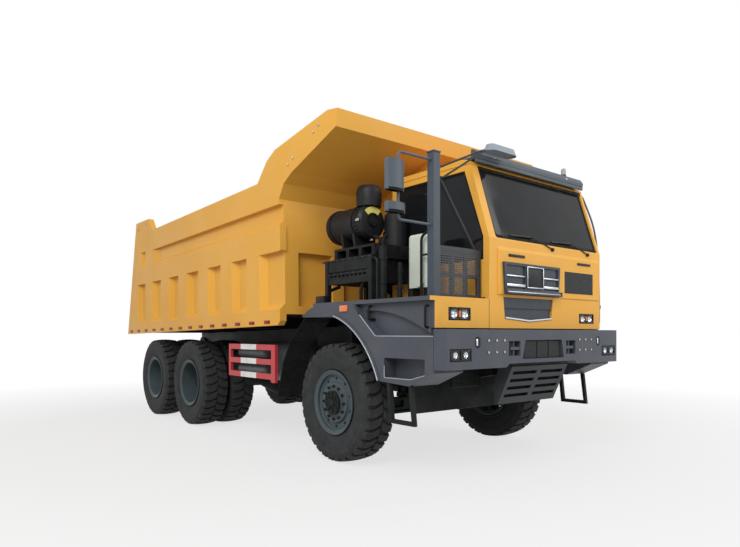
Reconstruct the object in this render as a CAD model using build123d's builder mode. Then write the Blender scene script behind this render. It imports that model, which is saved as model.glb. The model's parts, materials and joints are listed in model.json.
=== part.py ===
from build123d import *
from math import atan2, cos, hypot, radians, sin, tan
import os

# Mining dump truck: a 6x4 rigid hauler with an offset cab, a raked steel bed that a
# telescopic front hoist lifts, and a top-hung tailgate.
# Millimetres, +X forward, +Y left, +Z up, origin on the ground under the middle of the truck.

os.makedirs("parts", exist_ok=True)

# ---------------------------------------------------------------- driving dimensions

# Wheels and where they stand
TYRE_R = 746.5
TYRE_W = 430.0
BEAD_R = 375.0
FLANGE_R = 404.0
WHEELBASE = 4100.0  # front axle to first rear axle
TANDEM_ROOM = 207.0  # between the treads of the two rear axles
TWIN_ROOM = 70.0  # between the walls of twin tyres
FRONT_OVERHANG = 1930.0  # front axle to bumper face
TAIL_OVERHANG = 1481.0  # last axle to the tail lip of the bed
FRONT_TYRE_Y = 1475.0  # middle of a front tyre
TWIN_Y = 1395.0  # middle of a pair of twin tyres
SPIN_GAP = 0.4  # radial running clearance of a hub on its spindle

AXLE_Z = TYRE_R
TYRE_TOP = 2 * TYRE_R
TANDEM = TYRE_TOP + TANDEM_ROOM
TWIN_SPACING = TYRE_W + TWIN_ROOM
X1 = (FRONT_OVERHANG + WHEELBASE + TANDEM + TAIL_OVERHANG) / 2 - FRONT_OVERHANG
X2 = X1 - WHEELBASE
X3 = X2 - TANDEM
NOSE_X = X1 + FRONT_OVERHANG

# Chassis rails, channels that open inwards
RAIL_IN = 400.0
RAIL_OUT = 500.0
RAIL_WEB = 16.0
RAIL_FLANGE = 20.0
RAIL_OVER_AXLE = 253.5
RAIL_H = 360.0
RAIL_Z0 = AXLE_Z + RAIL_OVER_AXLE
RAIL_Z1 = RAIL_Z0 + RAIL_H
RAIL_NOSE_X = X1 + 1560.0

# Steering
KINGPIN_Y = 1120.0
KINGPIN_R = 38.0
FIST_DROP = 146.5  # foot of the axle's fist below the wheel's middle
FIST_H = 290.0
EAR_T = 60.0
EAR_GAP = 6.0
SPINDLE_R = 55.0
ARM_BACK = 250.0  # steering arm, kingpin to tie rod
FIST_Z0 = AXLE_Z - FIST_DROP
FIST_Z1 = FIST_Z0 + FIST_H

# Bumper, fenders and deck
BODY_HALF = 1700.0
BUMPER_OVER_RAIL = 235.0
BUMPER_H = 420.0
DECK_OVER_TYRE = 462.0
DECK_T = 45.0
BUMPER_Z0 = RAIL_Z0 + BUMPER_OVER_RAIL
BUMPER_Z1 = BUMPER_Z0 + BUMPER_H
DECK_Z0 = TYRE_TOP + DECK_OVER_TYRE
DECK_Z1 = DECK_Z0 + DECK_T
DECK_BACK_X = X1 - 404.0
PANEL_X = X1 + 1740.0  # outer face of the cab front and of the deck's front panel
PANEL_T = 60.0
PANEL_Z0 = BUMPER_Z1 + 15.0

# Cab
CAB_RIGHT = -768.0
CAB_LEFT = 1559.0
CAB_BACK_X = X1 + 100.0
CAB_WALL = 60.0
CAB_LIFT = 20.0  # cab floor above the deck
SCREEN_SILL = 670.0
SCREEN_RISE = 890.0
SCREEN_RUN = 283.0  # how far the windscreen leans back over its height
ROOF_T = 65.0
GLASS_T = 12.0
DOOR_GAP = 8.0
CAB_Z0 = DECK_Z1 + CAB_LIFT
SCREEN_Z0 = CAB_Z0 + SCREEN_SILL
CAB_EAVE_Z = SCREEN_Z0 + SCREEN_RISE
CAB_TOP_Z = CAB_EAVE_Z + ROOF_T

# Bed, in its own plane: x forward along the floor from the hinge pin, z up from it
RAKE = 0.0192  # radians, nose up
HINGE_X = X3 - 750.0
HINGE_OVER_RAIL = 60.0
HINGE_Z = RAIL_Z1 + HINGE_OVER_RAIL
HINGE_PIN_R = 45.0
BED_HALF = 1900.0
BED_WALL = 100.0
BED_FRONT = (X1 - 914.0 - HINGE_X) / cos(RAKE) + 22.0
BED_TYRE_ROOM = 122.0
BEAM_H = 135.0
FLOOR_T = 120.0
POCKET_H = 747.0
BELT_H = 353.0
STRIP_H = 278.0
TOP_RAIL_H = 394.0
EAR_H = 273.0
BED_BOTTOM = TYRE_TOP + BED_TYRE_ROOM - HINGE_Z
FLOOR_Z0 = BED_BOTTOM + BEAM_H
FLOOR_Z1 = FLOOR_Z0 + FLOOR_T
BELT_Z0 = FLOOR_Z1 + POCKET_H
BELT_Z1 = BELT_Z0 + BELT_H
TOP_RAIL_Z0 = BELT_Z1 + STRIP_H
TOP_RAIL_Z1 = TOP_RAIL_Z0 + TOP_RAIL_H
EAR_Z1 = TOP_RAIL_Z1 + EAR_H
TAIL_LOW_X = -728.0
TAIL_TOP_X = -144.0
POCKETS = 7
POCKET_W = 490.0
POCKET_DEEP = 85.0
FIRST_POCKET_X = -100.0
OPEN_POCKET_W = 565.0
STRIP_DEEP = 68.0

# Hoist
HOIST_X = X1 - 580.0
HOIST_OVER_RAIL = 150.0
HOIST_Z = RAIL_Z0 + HOIST_OVER_RAIL
HOIST_PIN_R = 35.0
HOIST_TOP = (BED_FRONT + 308.0, TOP_RAIL_Z0 - 12.0)  # top pin in the bed's plane
HOIST_EYE_R = 75.0
HOIST_EYE_HALF = 85.0
HOIST_TOP_HALF = 140.0  # half width of the top eye, wider than the barrel
HOIST_SIDE_GAP = 6.0
STAGE_R = (130.0, 105.0, 82.0, 60.0)  # barrel and its three stages


# ---------------------------------------------------------------- small helpers

def side_plane(y):
    """Upright plane along the truck: sketch x is X, sketch y is Z, facing -Y."""
    return Plane(origin=(0, y, 0), x_dir=(1, 0, 0), z_dir=(0, -1, 0))


def front_plane(x):
    """Upright plane across the truck: sketch x is Y, sketch y is Z, facing +X."""
    return Plane(origin=(x, 0, 0), x_dir=(0, 1, 0), z_dir=(1, 0, 0))


def wheel_plane(x, y):
    """Plane through an axle at Y: sketch x is Y outwards from there, sketch y is the radius."""
    return Plane(origin=(x, y, AXLE_Z), x_dir=(0, 1, 0), z_dir=(1, 0, 0))


def bed_plane(y):
    """The side plane of the raked bed, with its origin on the hinge pin."""
    return Plane(origin=(HINGE_X, y, HINGE_Z), x_dir=(cos(RAKE), 0, sin(RAKE)), z_dir=(0, -1, 0))


def bed_cross_plane(x):
    """Plane square to the bed's floor, x ahead of the hinge: sketch x is Y, sketch y is up."""
    origin = (HINGE_X + x * cos(RAKE), 0, HINGE_Z + x * sin(RAKE))
    return Plane(origin=origin, x_dir=(0, 1, 0), z_dir=(cos(RAKE), 0, sin(RAKE)))


def bed_point(x, z):
    """World X and Z of a point of the bed's plane."""
    return (
        HINGE_X + x * cos(RAKE) - z * sin(RAKE),
        HINGE_Z + x * sin(RAKE) + z * cos(RAKE),
    )


def round_wheel(angle, room):
    """World X and Z of a point off the front tyre's tread, angle up from straight ahead."""
    reach = TYRE_R + room
    return (X1 + reach * cos(radians(angle)), AXLE_Z + reach * sin(radians(angle)))


def prism(plane, outline, depth, mode=Mode.ADD):
    """A closed outline on a plane, carried depth along the plane's normal."""
    with BuildSketch(plane) as face:
        with BuildLine():
            Polyline(*outline, close=True)
        make_face()
    extrude(face.sketch, amount=depth, mode=mode)


def side_slab(outline, y0, y1, mode=Mode.ADD):
    prism(side_plane(max(y0, y1)), outline, abs(y1 - y0), mode)


def front_slab(outline, x0, x1, mode=Mode.ADD):
    prism(front_plane(x0), outline, x1 - x0, mode)


def plan_slab(outline, z0, z1, mode=Mode.ADD):
    prism(Plane.XY.offset(z0), outline, z1 - z0, mode)


def bed_slab(outline, y0, y1, mode=Mode.ADD):
    prism(bed_plane(max(y0, y1)), outline, abs(y1 - y0), mode)


def block(x0, x1, y0, y1, z0, z1, mode=Mode.ADD):
    with Locations(((x0 + x1) / 2, (y0 + y1) / 2, (z0 + z1) / 2)):
        Box(abs(x1 - x0), abs(y1 - y0), abs(z1 - z0), mode=mode)


def rectangle(x0, x1, z0, z1):
    return ((x0, z0), (x1, z0), (x1, z1), (x0, z1))


def rod(start, end, radius, mode=Mode.ADD):
    """Round bar from point to point."""
    span = Vector(*end) - Vector(*start)
    with BuildSketch(Plane(origin=start, z_dir=span)) as face:
        Circle(radius)
    extrude(face.sketch, amount=span.length, mode=mode)


def cross_pin(x, z, radius, y0, y1, mode=Mode.ADD):
    """Round bar along Y."""
    rod((x, y0, z), (x, y1, z), radius, mode)


def bent_tube(points, bend, radius):
    """Round tube through points, with bends of one radius."""
    with BuildLine() as path:
        FilletPolyline(*points, radius=bend)
    with BuildSketch(Plane(origin=path.line @ 0, z_dir=path.line % 0)) as section:
        Circle(radius)
    sweep(section.sketch, path=path.line)


def tapered_cut(outer_plane, outer, inner_plane, inner):
    """Cut a recess whose mouth is one outline and whose floor is another."""
    with BuildSketch(outer_plane) as mouth:
        with BuildLine():
            Polyline(*outer, close=True)
        make_face()
    with BuildSketch(inner_plane) as floor:
        with BuildLine():
            Polyline(*inner, close=True)
        make_face()
    loft([mouth.sketch, floor.sketch], ruled=True, mode=Mode.SUBTRACT)


def save(builder, name):
    builder.part.label = name
    export_step(builder.part, f"parts/{name}.step")


# ---------------------------------------------------------------- chassis

RAIL_TAIL_X = HINGE_X + 150
TAIL_MEMBER_X = HINGE_X + 260
TAIL_MEMBER_HALF = 60.0
HOIST_BED_TOP = 45.0  # top of the hoist's crossmember above the rail's foot
ENGINE_BACK_X = X1 - 400.0
TRUNNION_X = (X2 + X3) / 2
# crossmember: middle X, half length, foot above the rail's foot, head below the rail's top
CROSSMEMBERS = (
    (X1 + 1480, 60, 130, 40),
    (X1 - 2000, 60, 80, 40),
    (X1 - 3300, 60, 80, 40),
    (TRUNNION_X, 110, 60, 30),
    (TAIL_MEMBER_X, TAIL_MEMBER_HALF, 80, 20),
)
HINGE_LUG_T = 40.0
HINGE_LUG_R = 120.0
HINGE_SIDE_GAP = 6.0
HINGE_PIN_END = 25.0
TOW_EYE_R = 32.0
TOW_EYE_T = 50.0
TOW_EYE_Z = RAIL_Z0 + 200.0
TOW_EYE_X = HINGE_X - 130  # behind the rails and their cheeks, so that a pin goes in from the side
TOW_EYE_RIM = 70.0
TOW_FLANGE_T = 24.0
HOIST_LUG_T = 32.0

# Rail outline from the tail forwards, with a nose that tapers up to the bumper
NOSE_LIFT = 120.0
NOSE_FALL = 30.0
rail_foot = ((RAIL_TAIL_X, RAIL_Z0), (X1 + 900, RAIL_Z0), (RAIL_NOSE_X, RAIL_Z0 + NOSE_LIFT))
rail_head = ((RAIL_NOSE_X, RAIL_Z1 - NOSE_FALL), (X1 + 1100, RAIL_Z1), (RAIL_TAIL_X, RAIL_Z1))
rail_hollow = [(x, z + RAIL_FLANGE) for x, z in rail_foot] + [(x, z - RAIL_FLANGE) for x, z in rail_head]
OPEN_END = 10.0
rail_hollow[0] = (RAIL_TAIL_X - OPEN_END, RAIL_Z0 + RAIL_FLANGE)
rail_hollow[-1] = (RAIL_TAIL_X - OPEN_END, RAIL_Z1 - RAIL_FLANGE)

with BuildPart() as chassis_frame:
    side_slab((*rail_foot, *rail_head), RAIL_IN, RAIL_OUT)
    side_slab(rail_hollow, RAIL_IN - OPEN_END, RAIL_OUT - RAIL_WEB, Mode.SUBTRACT)
    web_in = RAIL_OUT - RAIL_WEB
    for x, half, foot, head in CROSSMEMBERS:
        block(x - half, x + half, 0, web_in, RAIL_Z0 + foot, RAIL_Z1 - head)
    block(HOIST_X - 150, HOIST_X + 150, 0, RAIL_OUT, RAIL_Z0, RAIL_Z0 + HOIST_BED_TOP)
    # Hinge cheeks bolted to both sides of the rail's tail
    cheek = (
        (HINGE_X + 420, RAIL_Z0 + 30),
        (HINGE_X + 420, RAIL_Z1 - 20),
        (HINGE_X + 90, HINGE_Z + HINGE_LUG_R * 0.75),
        (HINGE_X - 40, HINGE_Z + HINGE_LUG_R * 0.9),
        (HINGE_X - HINGE_LUG_R, HINGE_Z + 10),
        (HINGE_X - HINGE_LUG_R, HINGE_Z - 120),
        (HINGE_X + 60, RAIL_Z0 + 30),
    )
    side_slab(cheek, RAIL_IN - HINGE_LUG_T, RAIL_IN)
    side_slab(cheek, RAIL_OUT, RAIL_OUT + HINGE_LUG_T)
    pin_reach = HINGE_LUG_T + HINGE_PIN_END
    cross_pin(HINGE_X, HINGE_Z, HINGE_PIN_R, RAIL_IN - pin_reach, RAIL_OUT + pin_reach)
    # Hoist lugs on their low crossmember
    lug_y = HOIST_EYE_HALF + HOIST_SIDE_GAP
    side_slab(
        (
            (HOIST_X - 110, RAIL_Z0 + HOIST_BED_TOP),
            (HOIST_X + 110, RAIL_Z0 + HOIST_BED_TOP),
            (HOIST_X + 60, HOIST_Z + 55),
            (HOIST_X - 60, HOIST_Z + 55),
        ),
        lug_y,
        lug_y + HOIST_LUG_T,
    )
    mirror(about=Plane.XZ)
    # Tow eye on a flange on the back of the rear crossmember
    flange_x = TAIL_MEMBER_X - TAIL_MEMBER_HALF - TOW_FLANGE_T
    block(
        flange_x,
        TAIL_MEMBER_X - TAIL_MEMBER_HALF,
        -TOW_EYE_RIM * 1.5,
        TOW_EYE_RIM * 1.5,
        TOW_EYE_Z - TOW_EYE_RIM * 1.4,
        TOW_EYE_Z + TOW_EYE_RIM * 1.4,
    )
    with BuildSketch(side_plane(TOW_EYE_T / 2)) as tow_eye:
        with Locations((TOW_EYE_X, TOW_EYE_Z)):
            Circle(TOW_EYE_RIM)
        with Locations(((TOW_EYE_X + flange_x) / 2, TOW_EYE_Z)):
            Rectangle(flange_x - TOW_EYE_X, 2 * TOW_EYE_RIM)
        with Locations((TOW_EYE_X, TOW_EYE_Z)):
            Circle(TOW_EYE_R, mode=Mode.SUBTRACT)
    extrude(tow_eye.sketch, amount=TOW_EYE_T)
    foot_pin_half = lug_y + HOIST_LUG_T + 20
    cross_pin(HOIST_X, HOIST_Z, HOIST_PIN_R, -foot_pin_half, foot_pin_half)
save(chassis_frame, "chassis_frame")

# ---------------------------------------------------------------- axles and suspension

SPRING_Y = (RAIL_IN + RAIL_OUT) / 2
SPRING_HALF_W = 40.0
SPRING_SEAT_Z = AXLE_Z + 53.5
BEAM_HALF = 70.0
BEAM_WEB_HALF = 22.0
BEAM_Z0 = AXLE_Z - 166.5
BEAM_Z1 = AXLE_Z - 6.5
BEAM_FLANGE = 32.0

with BuildPart() as front_axle:
    # Drop-centre beam that rises to a fist round each kingpin
    front_slab(
        (
            (0, BEAM_Z0),
            (760, BEAM_Z0),
            (KINGPIN_Y - 110, FIST_Z0 + 20),
            (KINGPIN_Y - 20, FIST_Z0),
            (KINGPIN_Y, FIST_Z0),
            (KINGPIN_Y, FIST_Z1),
            (KINGPIN_Y - 60, FIST_Z1),
            (KINGPIN_Y - 150, BEAM_Z1 + 50),
            (720, BEAM_Z1),
            (0, BEAM_Z1),
        ),
        X1 - BEAM_HALF,
        X1 + BEAM_HALF,
    )
    # I section: both faces hollowed between the flanges, with the spring seat left solid
    for y0, y1 in ((0, SPRING_Y - 90), (SPRING_Y + 90, 700)):
        hollow = rectangle(y0, y1, BEAM_Z0 + BEAM_FLANGE, BEAM_Z1 - BEAM_FLANGE)
        front_slab(hollow, X1 + BEAM_WEB_HALF, X1 + BEAM_HALF, Mode.SUBTRACT)
        front_slab(hollow, X1 - BEAM_HALF, X1 - BEAM_WEB_HALF, Mode.SUBTRACT)
    with Locations((X1, KINGPIN_Y, (FIST_Z0 + FIST_Z1) / 2)):
        Cylinder(BEAM_HALF, FIST_H)
        Cylinder(KINGPIN_R, FIST_H + 2 * (EAR_T + EAR_GAP) + 20)
    block(X1 - 110, X1 + 110, SPRING_Y - 60, SPRING_Y + 60, BEAM_Z1, SPRING_SEAT_Z)
    mirror(about=Plane.XZ)
save(front_axle, "front_axle")

AXLE_TUBE_R = 120.0
REAR_SPINDLE_R = 80.0
SPINDLE_END_Y = TWIN_Y + 120
BANJO_R = 290.0
BANJO_HALF = 420.0
BANJO_FLAT = 110.0
REAR_SPRING_Y = 610.0
REAR_SPRING_HALF_W = 50.0
REAR_SEAT_Z = AXLE_Z + AXLE_TUBE_R + 10
SADDLE_HALF = 60.0
DRUM_FACE_Y = TWIN_Y - TWIN_SPACING / 2 - 100
PROP_R = 55.0
OUTPUT_Z = AXLE_Z + 143.5
JOINT_R = 75.0


def driven_axle(x):
    """Axle housing with its banjo, wheel spindles and spring saddles."""
    cross_pin(x, AXLE_Z, AXLE_TUBE_R, -DRUM_FACE_Y, DRUM_FACE_Y)
    cross_pin(x, AXLE_Z, REAR_SPINDLE_R, -SPINDLE_END_Y, SPINDLE_END_Y)
    with BuildSketch(wheel_plane(x, 0)) as dome:
        with BuildLine():
            Line((BANJO_HALF, 0), (BANJO_HALF, AXLE_TUBE_R))
            ThreePointArc((BANJO_HALF, AXLE_TUBE_R), (250, 215), (BANJO_FLAT, BANJO_R))
            Line((BANJO_FLAT, BANJO_R), (-BANJO_FLAT, BANJO_R))
            ThreePointArc((-BANJO_FLAT, BANJO_R), (-250, 215), (-BANJO_HALF, AXLE_TUBE_R))
            Polyline((-BANJO_HALF, AXLE_TUBE_R), (-BANJO_HALF, 0), (BANJO_HALF, 0))
        make_face()
    revolve(dome.sketch, axis=Axis((x, 0, AXLE_Z), (0, 1, 0)))
    for y in (-REAR_SPRING_Y, REAR_SPRING_Y):
        block(x - SADDLE_HALF, x + SADDLE_HALF, y - 50, y + 50, AXLE_Z, REAR_SEAT_Z)


with BuildPart() as rear_axles:
    driven_axle(X2)
    driven_axle(X3)
    rod((X3, 0, AXLE_Z), (X2, 0, AXLE_Z), PROP_R)
    rod((X2, 0, AXLE_Z), (ENGINE_BACK_X - 10, 0, OUTPUT_Z), PROP_R)
    rod((ENGINE_BACK_X - 24, 0, OUTPUT_Z), (ENGINE_BACK_X, 0, OUTPUT_Z), JOINT_R)
    # Universal joint flanges on the noses
    for x in (X2 + BANJO_R, X2 - BANJO_R, X3 + BANJO_R):
        rod((x - 30, 0, AXLE_Z), (x + 30, 0, AXLE_Z), JOINT_R)
save(rear_axles, "rear_axles")

LEAF_RUN = 760.0  # half length of a front main leaf
LEAF_DROP = RAIL_Z0 - 65.0
LEAF_END_T = 40.0
LEAF_PACK_T = 80.0
EYE_R = 38.0
U_BOLT_R = 11.0

with BuildPart() as suspension:
    # Front leaf packs, hung under the rails by an eye and a shackle
    pack_top = SPRING_SEAT_Z + LEAF_PACK_T
    with BuildSketch(side_plane(SPRING_Y + SPRING_HALF_W)) as pack:
        with BuildLine():
            ThreePointArc((X1 - LEAF_RUN, LEAF_DROP), (X1, pack_top), (X1 + LEAF_RUN, LEAF_DROP))
            Line((X1 + LEAF_RUN, LEAF_DROP), (X1 + LEAF_RUN, LEAF_DROP - LEAF_END_T))
            ThreePointArc(
                (X1 + LEAF_RUN, LEAF_DROP - LEAF_END_T),
                (X1, SPRING_SEAT_Z),
                (X1 - LEAF_RUN, LEAF_DROP - LEAF_END_T),
            )
            Line((X1 - LEAF_RUN, LEAF_DROP - LEAF_END_T), (X1 - LEAF_RUN, LEAF_DROP))
        make_face()
    extrude(pack.sketch, amount=2 * SPRING_HALF_W)
    for end_x in (X1 - LEAF_RUN, X1 + LEAF_RUN):
        cross_pin(end_x, LEAF_DROP - 20, EYE_R, SPRING_Y - SPRING_HALF_W, SPRING_Y + SPRING_HALF_W)
        for y in (SPRING_Y - SPRING_HALF_W - 10, SPRING_Y + SPRING_HALF_W):
            hanger = (
                (end_x - 30, LEAF_DROP - 50),
                (end_x + 30, LEAF_DROP - 50),
                (end_x + 55, RAIL_Z0),
                (end_x - 55, RAIL_Z0),
            )
            side_slab(hanger, y, y + 10)
    # U-bolts over the pack and down beside the seat
    for x in (X1 - 75, X1 + 75):
        for y in (SPRING_Y - SPRING_HALF_W - U_BOLT_R, SPRING_Y + SPRING_HALF_W + U_BOLT_R):
            rod((x, y, SPRING_SEAT_Z), (x, y, pack_top + 22), U_BOLT_R)
        rod((x, SPRING_Y - 51, pack_top + 11), (x, SPRING_Y + 51, pack_top + 11), U_BOLT_R)
    # Rear packs, clamped on the trunnion and reaching to both axles
    with BuildSketch(side_plane(REAR_SPRING_Y + REAR_SPRING_HALF_W)) as rear_pack:
        with BuildLine():
            tips = (X3 - SADDLE_HALF, X2 + SADDLE_HALF)
            feet = (X3 + SADDLE_HALF, X2 - SADDLE_HALF)
            tip_z = REAR_SEAT_Z + 60
            ThreePointArc((tips[0], tip_z), (TRUNNION_X, REAR_SEAT_Z + 190), (tips[1], tip_z))
            Polyline((tips[1], tip_z), (tips[1], REAR_SEAT_Z), (feet[1], REAR_SEAT_Z))
            ThreePointArc((feet[1], REAR_SEAT_Z), (TRUNNION_X, tip_z), (feet[0], REAR_SEAT_Z))
            Polyline((feet[0], REAR_SEAT_Z), (tips[0], REAR_SEAT_Z), (tips[0], tip_z))
        make_face()
    extrude(rear_pack.sketch, amount=2 * REAR_SPRING_HALF_W)
    # Trunnion bracket on the rail's side, with its clamp plate on the pack
    bracket = (
        (TRUNNION_X - 150, RAIL_Z0 - 30),
        (TRUNNION_X + 150, RAIL_Z0 - 30),
        (TRUNNION_X + 260, RAIL_Z0 + 200),
        (TRUNNION_X - 260, RAIL_Z0 + 200),
    )
    side_slab(bracket, RAIL_OUT, REAR_SPRING_Y - REAR_SPRING_HALF_W)
    clamp_z = REAR_SEAT_Z + 180
    block(
        TRUNNION_X - 130,
        TRUNNION_X + 130,
        REAR_SPRING_Y - REAR_SPRING_HALF_W,
        REAR_SPRING_Y + REAR_SPRING_HALF_W,
        clamp_z,
        clamp_z + 45,
    )
    mirror(about=Plane.XZ)
save(suspension, "suspension")

SUMP_Z = AXLE_Z + 68.5
ENGINE_LOW_Z = RAIL_Z0 - 20
ENGINE_TOP_Z = DECK_Z0 - 75
ENGINE_HALF = 340.0
with BuildPart() as engine_block:
    side_slab(
        (
            (ENGINE_BACK_X, SUMP_Z),
            (X1 - 150, SUMP_Z),
            (X1 - 90, ENGINE_LOW_Z),
            (X1 + 1250, ENGINE_LOW_Z),
            (X1 + 1250, ENGINE_TOP_Z - 180),
            (X1 + 1050, ENGINE_TOP_Z),
            (X1 + 50, ENGINE_TOP_Z),
            (X1 - 150, RAIL_Z1 - 60),
            (ENGINE_BACK_X, RAIL_Z1 - 180),
        ),
        -ENGINE_HALF,
        ENGINE_HALF,
    )
    # Mounts out to the rails' lower flanges
    for x in (X1 - 20, X1 + 820):
        block(x, x + 120, -RAIL_IN, RAIL_IN, RAIL_Z0, RAIL_Z0 + RAIL_FLANGE)
save(engine_block, "engine_block")

# ---------------------------------------------------------------- wheels

BEAD_HALF = 155.0
TREAD_HALF = 186.0
SHOULDER_DROP = 14.0
WALL_R = BEAD_R + (TYRE_R - BEAD_R) / 2
HALF_W = TYRE_W / 2


def tyre(x, y):
    """A round-walled tyre about the Y axis, with a slightly crowned tread."""
    shoulder = TYRE_R - SHOULDER_DROP
    with BuildSketch(wheel_plane(x, y)) as section:
        with BuildLine():
            Line((-BEAD_HALF, BEAD_R), (BEAD_HALF, BEAD_R))
            ThreePointArc((BEAD_HALF, BEAD_R), (HALF_W, WALL_R), (TREAD_HALF, shoulder))
            ThreePointArc((TREAD_HALF, shoulder), (0, TYRE_R), (-TREAD_HALF, shoulder))
            ThreePointArc((-TREAD_HALF, shoulder), (-HALF_W, WALL_R), (-BEAD_HALF, BEAD_R))
        make_face()
    revolve(section.sketch, axis=Axis((x, y, AXLE_Z), (0, 1, 0)))


def turned(x, y, side, outline, mode=Mode.ADD):
    """A solid of revolution about the axle at Y; outline columns: outward, radius."""
    with BuildSketch(wheel_plane(x, y)) as section:
        with BuildLine():
            Polyline(*[(side * a, r) for a, r in outline], close=True)
        make_face()
    revolve(section.sketch, axis=Axis((x, y, AXLE_Z), (0, 1, 0)), mode=mode)


def hand_holes(x, y, side, outward, radius, count, hole_r):
    """Round holes through a wheel's disc."""
    with BuildSketch(Plane(origin=(x, y + side * outward, AXLE_Z), z_dir=(0, side, 0))) as holes:
        with PolarLocations(radius, count):
            Circle(hole_r)
    extrude(holes.sketch, amount=60, mode=Mode.SUBTRACT)


RIM_T = 22.0
BARREL_R = BEAD_R - RIM_T
BORE_R = SPINDLE_R + SPIN_GAP
REAR_BORE_R = REAR_SPINDLE_R + SPIN_GAP
SPINDLE_OUT = 150.0  # how far the front spindle reaches past the tyre's middle
END_ROOM = 6.0  # from a spindle's end to its hub cap
HAND_HOLES = 10

# curled flange outside a bead: outward of the bead seat's edge, radius
FLANGE = (
    (0, BEAD_R),
    (22, BEAD_R + 8),
    (35, FLANGE_R),
    (49, FLANGE_R),
    (53, FLANGE_R - 8),
    (31, BARREL_R),
)
# front disc, hub and cap from the rim inwards: outward of the tyre's middle, radius
FRONT_DISC = (
    (150, BARREL_R),
    (140, 338),
    (146, 264),
    (176, 250),
    (176, 152),
    (196, 140),
    (204, 128),
    (204, 94),
    (182, 86),
    (182, 62),
    (194, 54),
    (194, 0),
    (SPINDLE_OUT + END_ROOM, 0),
    (SPINDLE_OUT + END_ROOM, BORE_R),
    (-120, BORE_R),
    (-120, 190),
    (-20, 190),
    (-20, 150),
    (158, 150),
    (158, 236),
    (128, 250),
    (122, 338),
    (112, BARREL_R),
)
front_rim_outline = (
    *[(-BEAD_HALF - a, r) for a, r in reversed(FLANGE)],
    *[(BEAD_HALF + a, r) for a, r in FLANGE],
    *FRONT_DISC,
)

for side, where in ((1, "left"), (-1, "right")):
    wheel_y = side * FRONT_TYRE_Y
    with BuildPart() as front_tyre:
        tyre(X1, wheel_y)
    save(front_tyre, f"front_{where}_tyre")
    with BuildPart() as front_rim:
        turned(X1, wheel_y, side, front_rim_outline)
        hand_holes(X1, wheel_y, side, 100, 300, HAND_HOLES, 20)
    save(front_rim, f"front_{where}_rim")

# deep disc, hub and planetary cap of the twins: outward of the middle between the tyres, radius
HALF_TWIN = TWIN_SPACING / 2
TWIN_DISC = (
    (70, BARREL_R),
    (58, 334),
    (58, 252),
    (76, 240),
    (76, 188),
    (228, 172),
    (262, 128),
    (262, 60),
    (250, 52),
    (250, 0),
    (SPINDLE_END_Y - TWIN_Y + END_ROOM, 0),
    (SPINDLE_END_Y - TWIN_Y + END_ROOM, REAR_BORE_R),
    (-200, REAR_BORE_R),
    (-200, 170),
    (0, 190),
    (36, 232),
    (36, 334),
    (24, BARREL_R),
)
# Flanges of the two rims meet the spacer in the middle
MIDDLE_FLANGES = (
    *[(-HALF_TWIN + BEAD_HALF + a, r) for a, r in FLANGE[:5]],
    (-HALF_TWIN + BEAD_HALF + 53, BEAD_R),
    (HALF_TWIN - BEAD_HALF - 53, BEAD_R),
    *[(HALF_TWIN - BEAD_HALF - a, r) for a, r in reversed(FLANGE[:5])],
)
twin_outline = (
    *[(-HALF_TWIN - BEAD_HALF - a, r) for a, r in reversed(FLANGE)],
    *MIDDLE_FLANGES,
    *[(HALF_TWIN + BEAD_HALF + a, r) for a, r in FLANGE],
    *TWIN_DISC,
)

for axle_x, axle in ((X2, "mid"), (X3, "rear")):
    for side, where in ((1, "left"), (-1, "right")):
        with BuildPart() as twin_tyres:
            for shift in (-HALF_TWIN, HALF_TWIN):
                tyre(axle_x, side * (TWIN_Y + shift))
        save(twin_tyres, f"{axle}_{where}_tyres")
        with BuildPart() as twin_rims:
            turned(axle_x, side * TWIN_Y, side, twin_outline)
            hand_holes(axle_x, side * TWIN_Y, side, 30, 292, HAND_HOLES, 20)
        save(twin_rims, f"{axle}_{where}_rims")

# ---------------------------------------------------------------- steering

KNUCKLE_EAR_R = 82.0
KNUCKLE_FLANGE_T = 34.0
ARM_T = 36.0
BALL_R = 34.0
BALL_GAP = 0.6

for side, where in ((1, "left"), (-1, "right")):
    pin_y = side * KINGPIN_Y
    back_y = side * (KINGPIN_Y + BEAM_HALF + 12)
    with BuildPart() as knuckle:
        for z0 in (FIST_Z0 - EAR_GAP - EAR_T, FIST_Z1 + EAR_GAP):
            with Locations((X1, pin_y, z0 + EAR_T / 2)):
                Cylinder(KNUCKLE_EAR_R, EAR_T)
            block(X1 - KNUCKLE_EAR_R, X1 + KNUCKLE_EAR_R, pin_y, back_y, z0, z0 + EAR_T)
        block(
            X1 - KNUCKLE_EAR_R,
            X1 + KNUCKLE_EAR_R,
            back_y,
            back_y + side * KNUCKLE_FLANGE_T,
            FIST_Z0 - EAR_GAP - EAR_T,
            FIST_Z1 + EAR_GAP + EAR_T,
        )
        # Steering arm to the tie rod
        arm_z = FIST_Z0 - EAR_GAP - EAR_T
        plan_slab(
            (
                (X1 - 40, pin_y - 36),
                (X1 - ARM_BACK, pin_y - 30),
                (X1 - ARM_BACK, pin_y + 30),
                (X1 - 40, pin_y + 36),
            ),
            arm_z,
            arm_z + ARM_T,
        )
        with Locations((X1 - ARM_BACK, pin_y, arm_z + ARM_T / 2)):
            Cylinder(30, ARM_T)
        with Locations((X1, pin_y, (FIST_Z0 + FIST_Z1) / 2)):
            Cylinder(KINGPIN_R + SPIN_GAP, FIST_H + 4 * EAR_T + 4 * EAR_GAP, mode=Mode.SUBTRACT)
        rod((X1, back_y, AXLE_Z), (X1, side * (FRONT_TYRE_Y + SPINDLE_OUT), AXLE_Z), SPINDLE_R)
    save(knuckle, f"knuckle_{where}")

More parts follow.
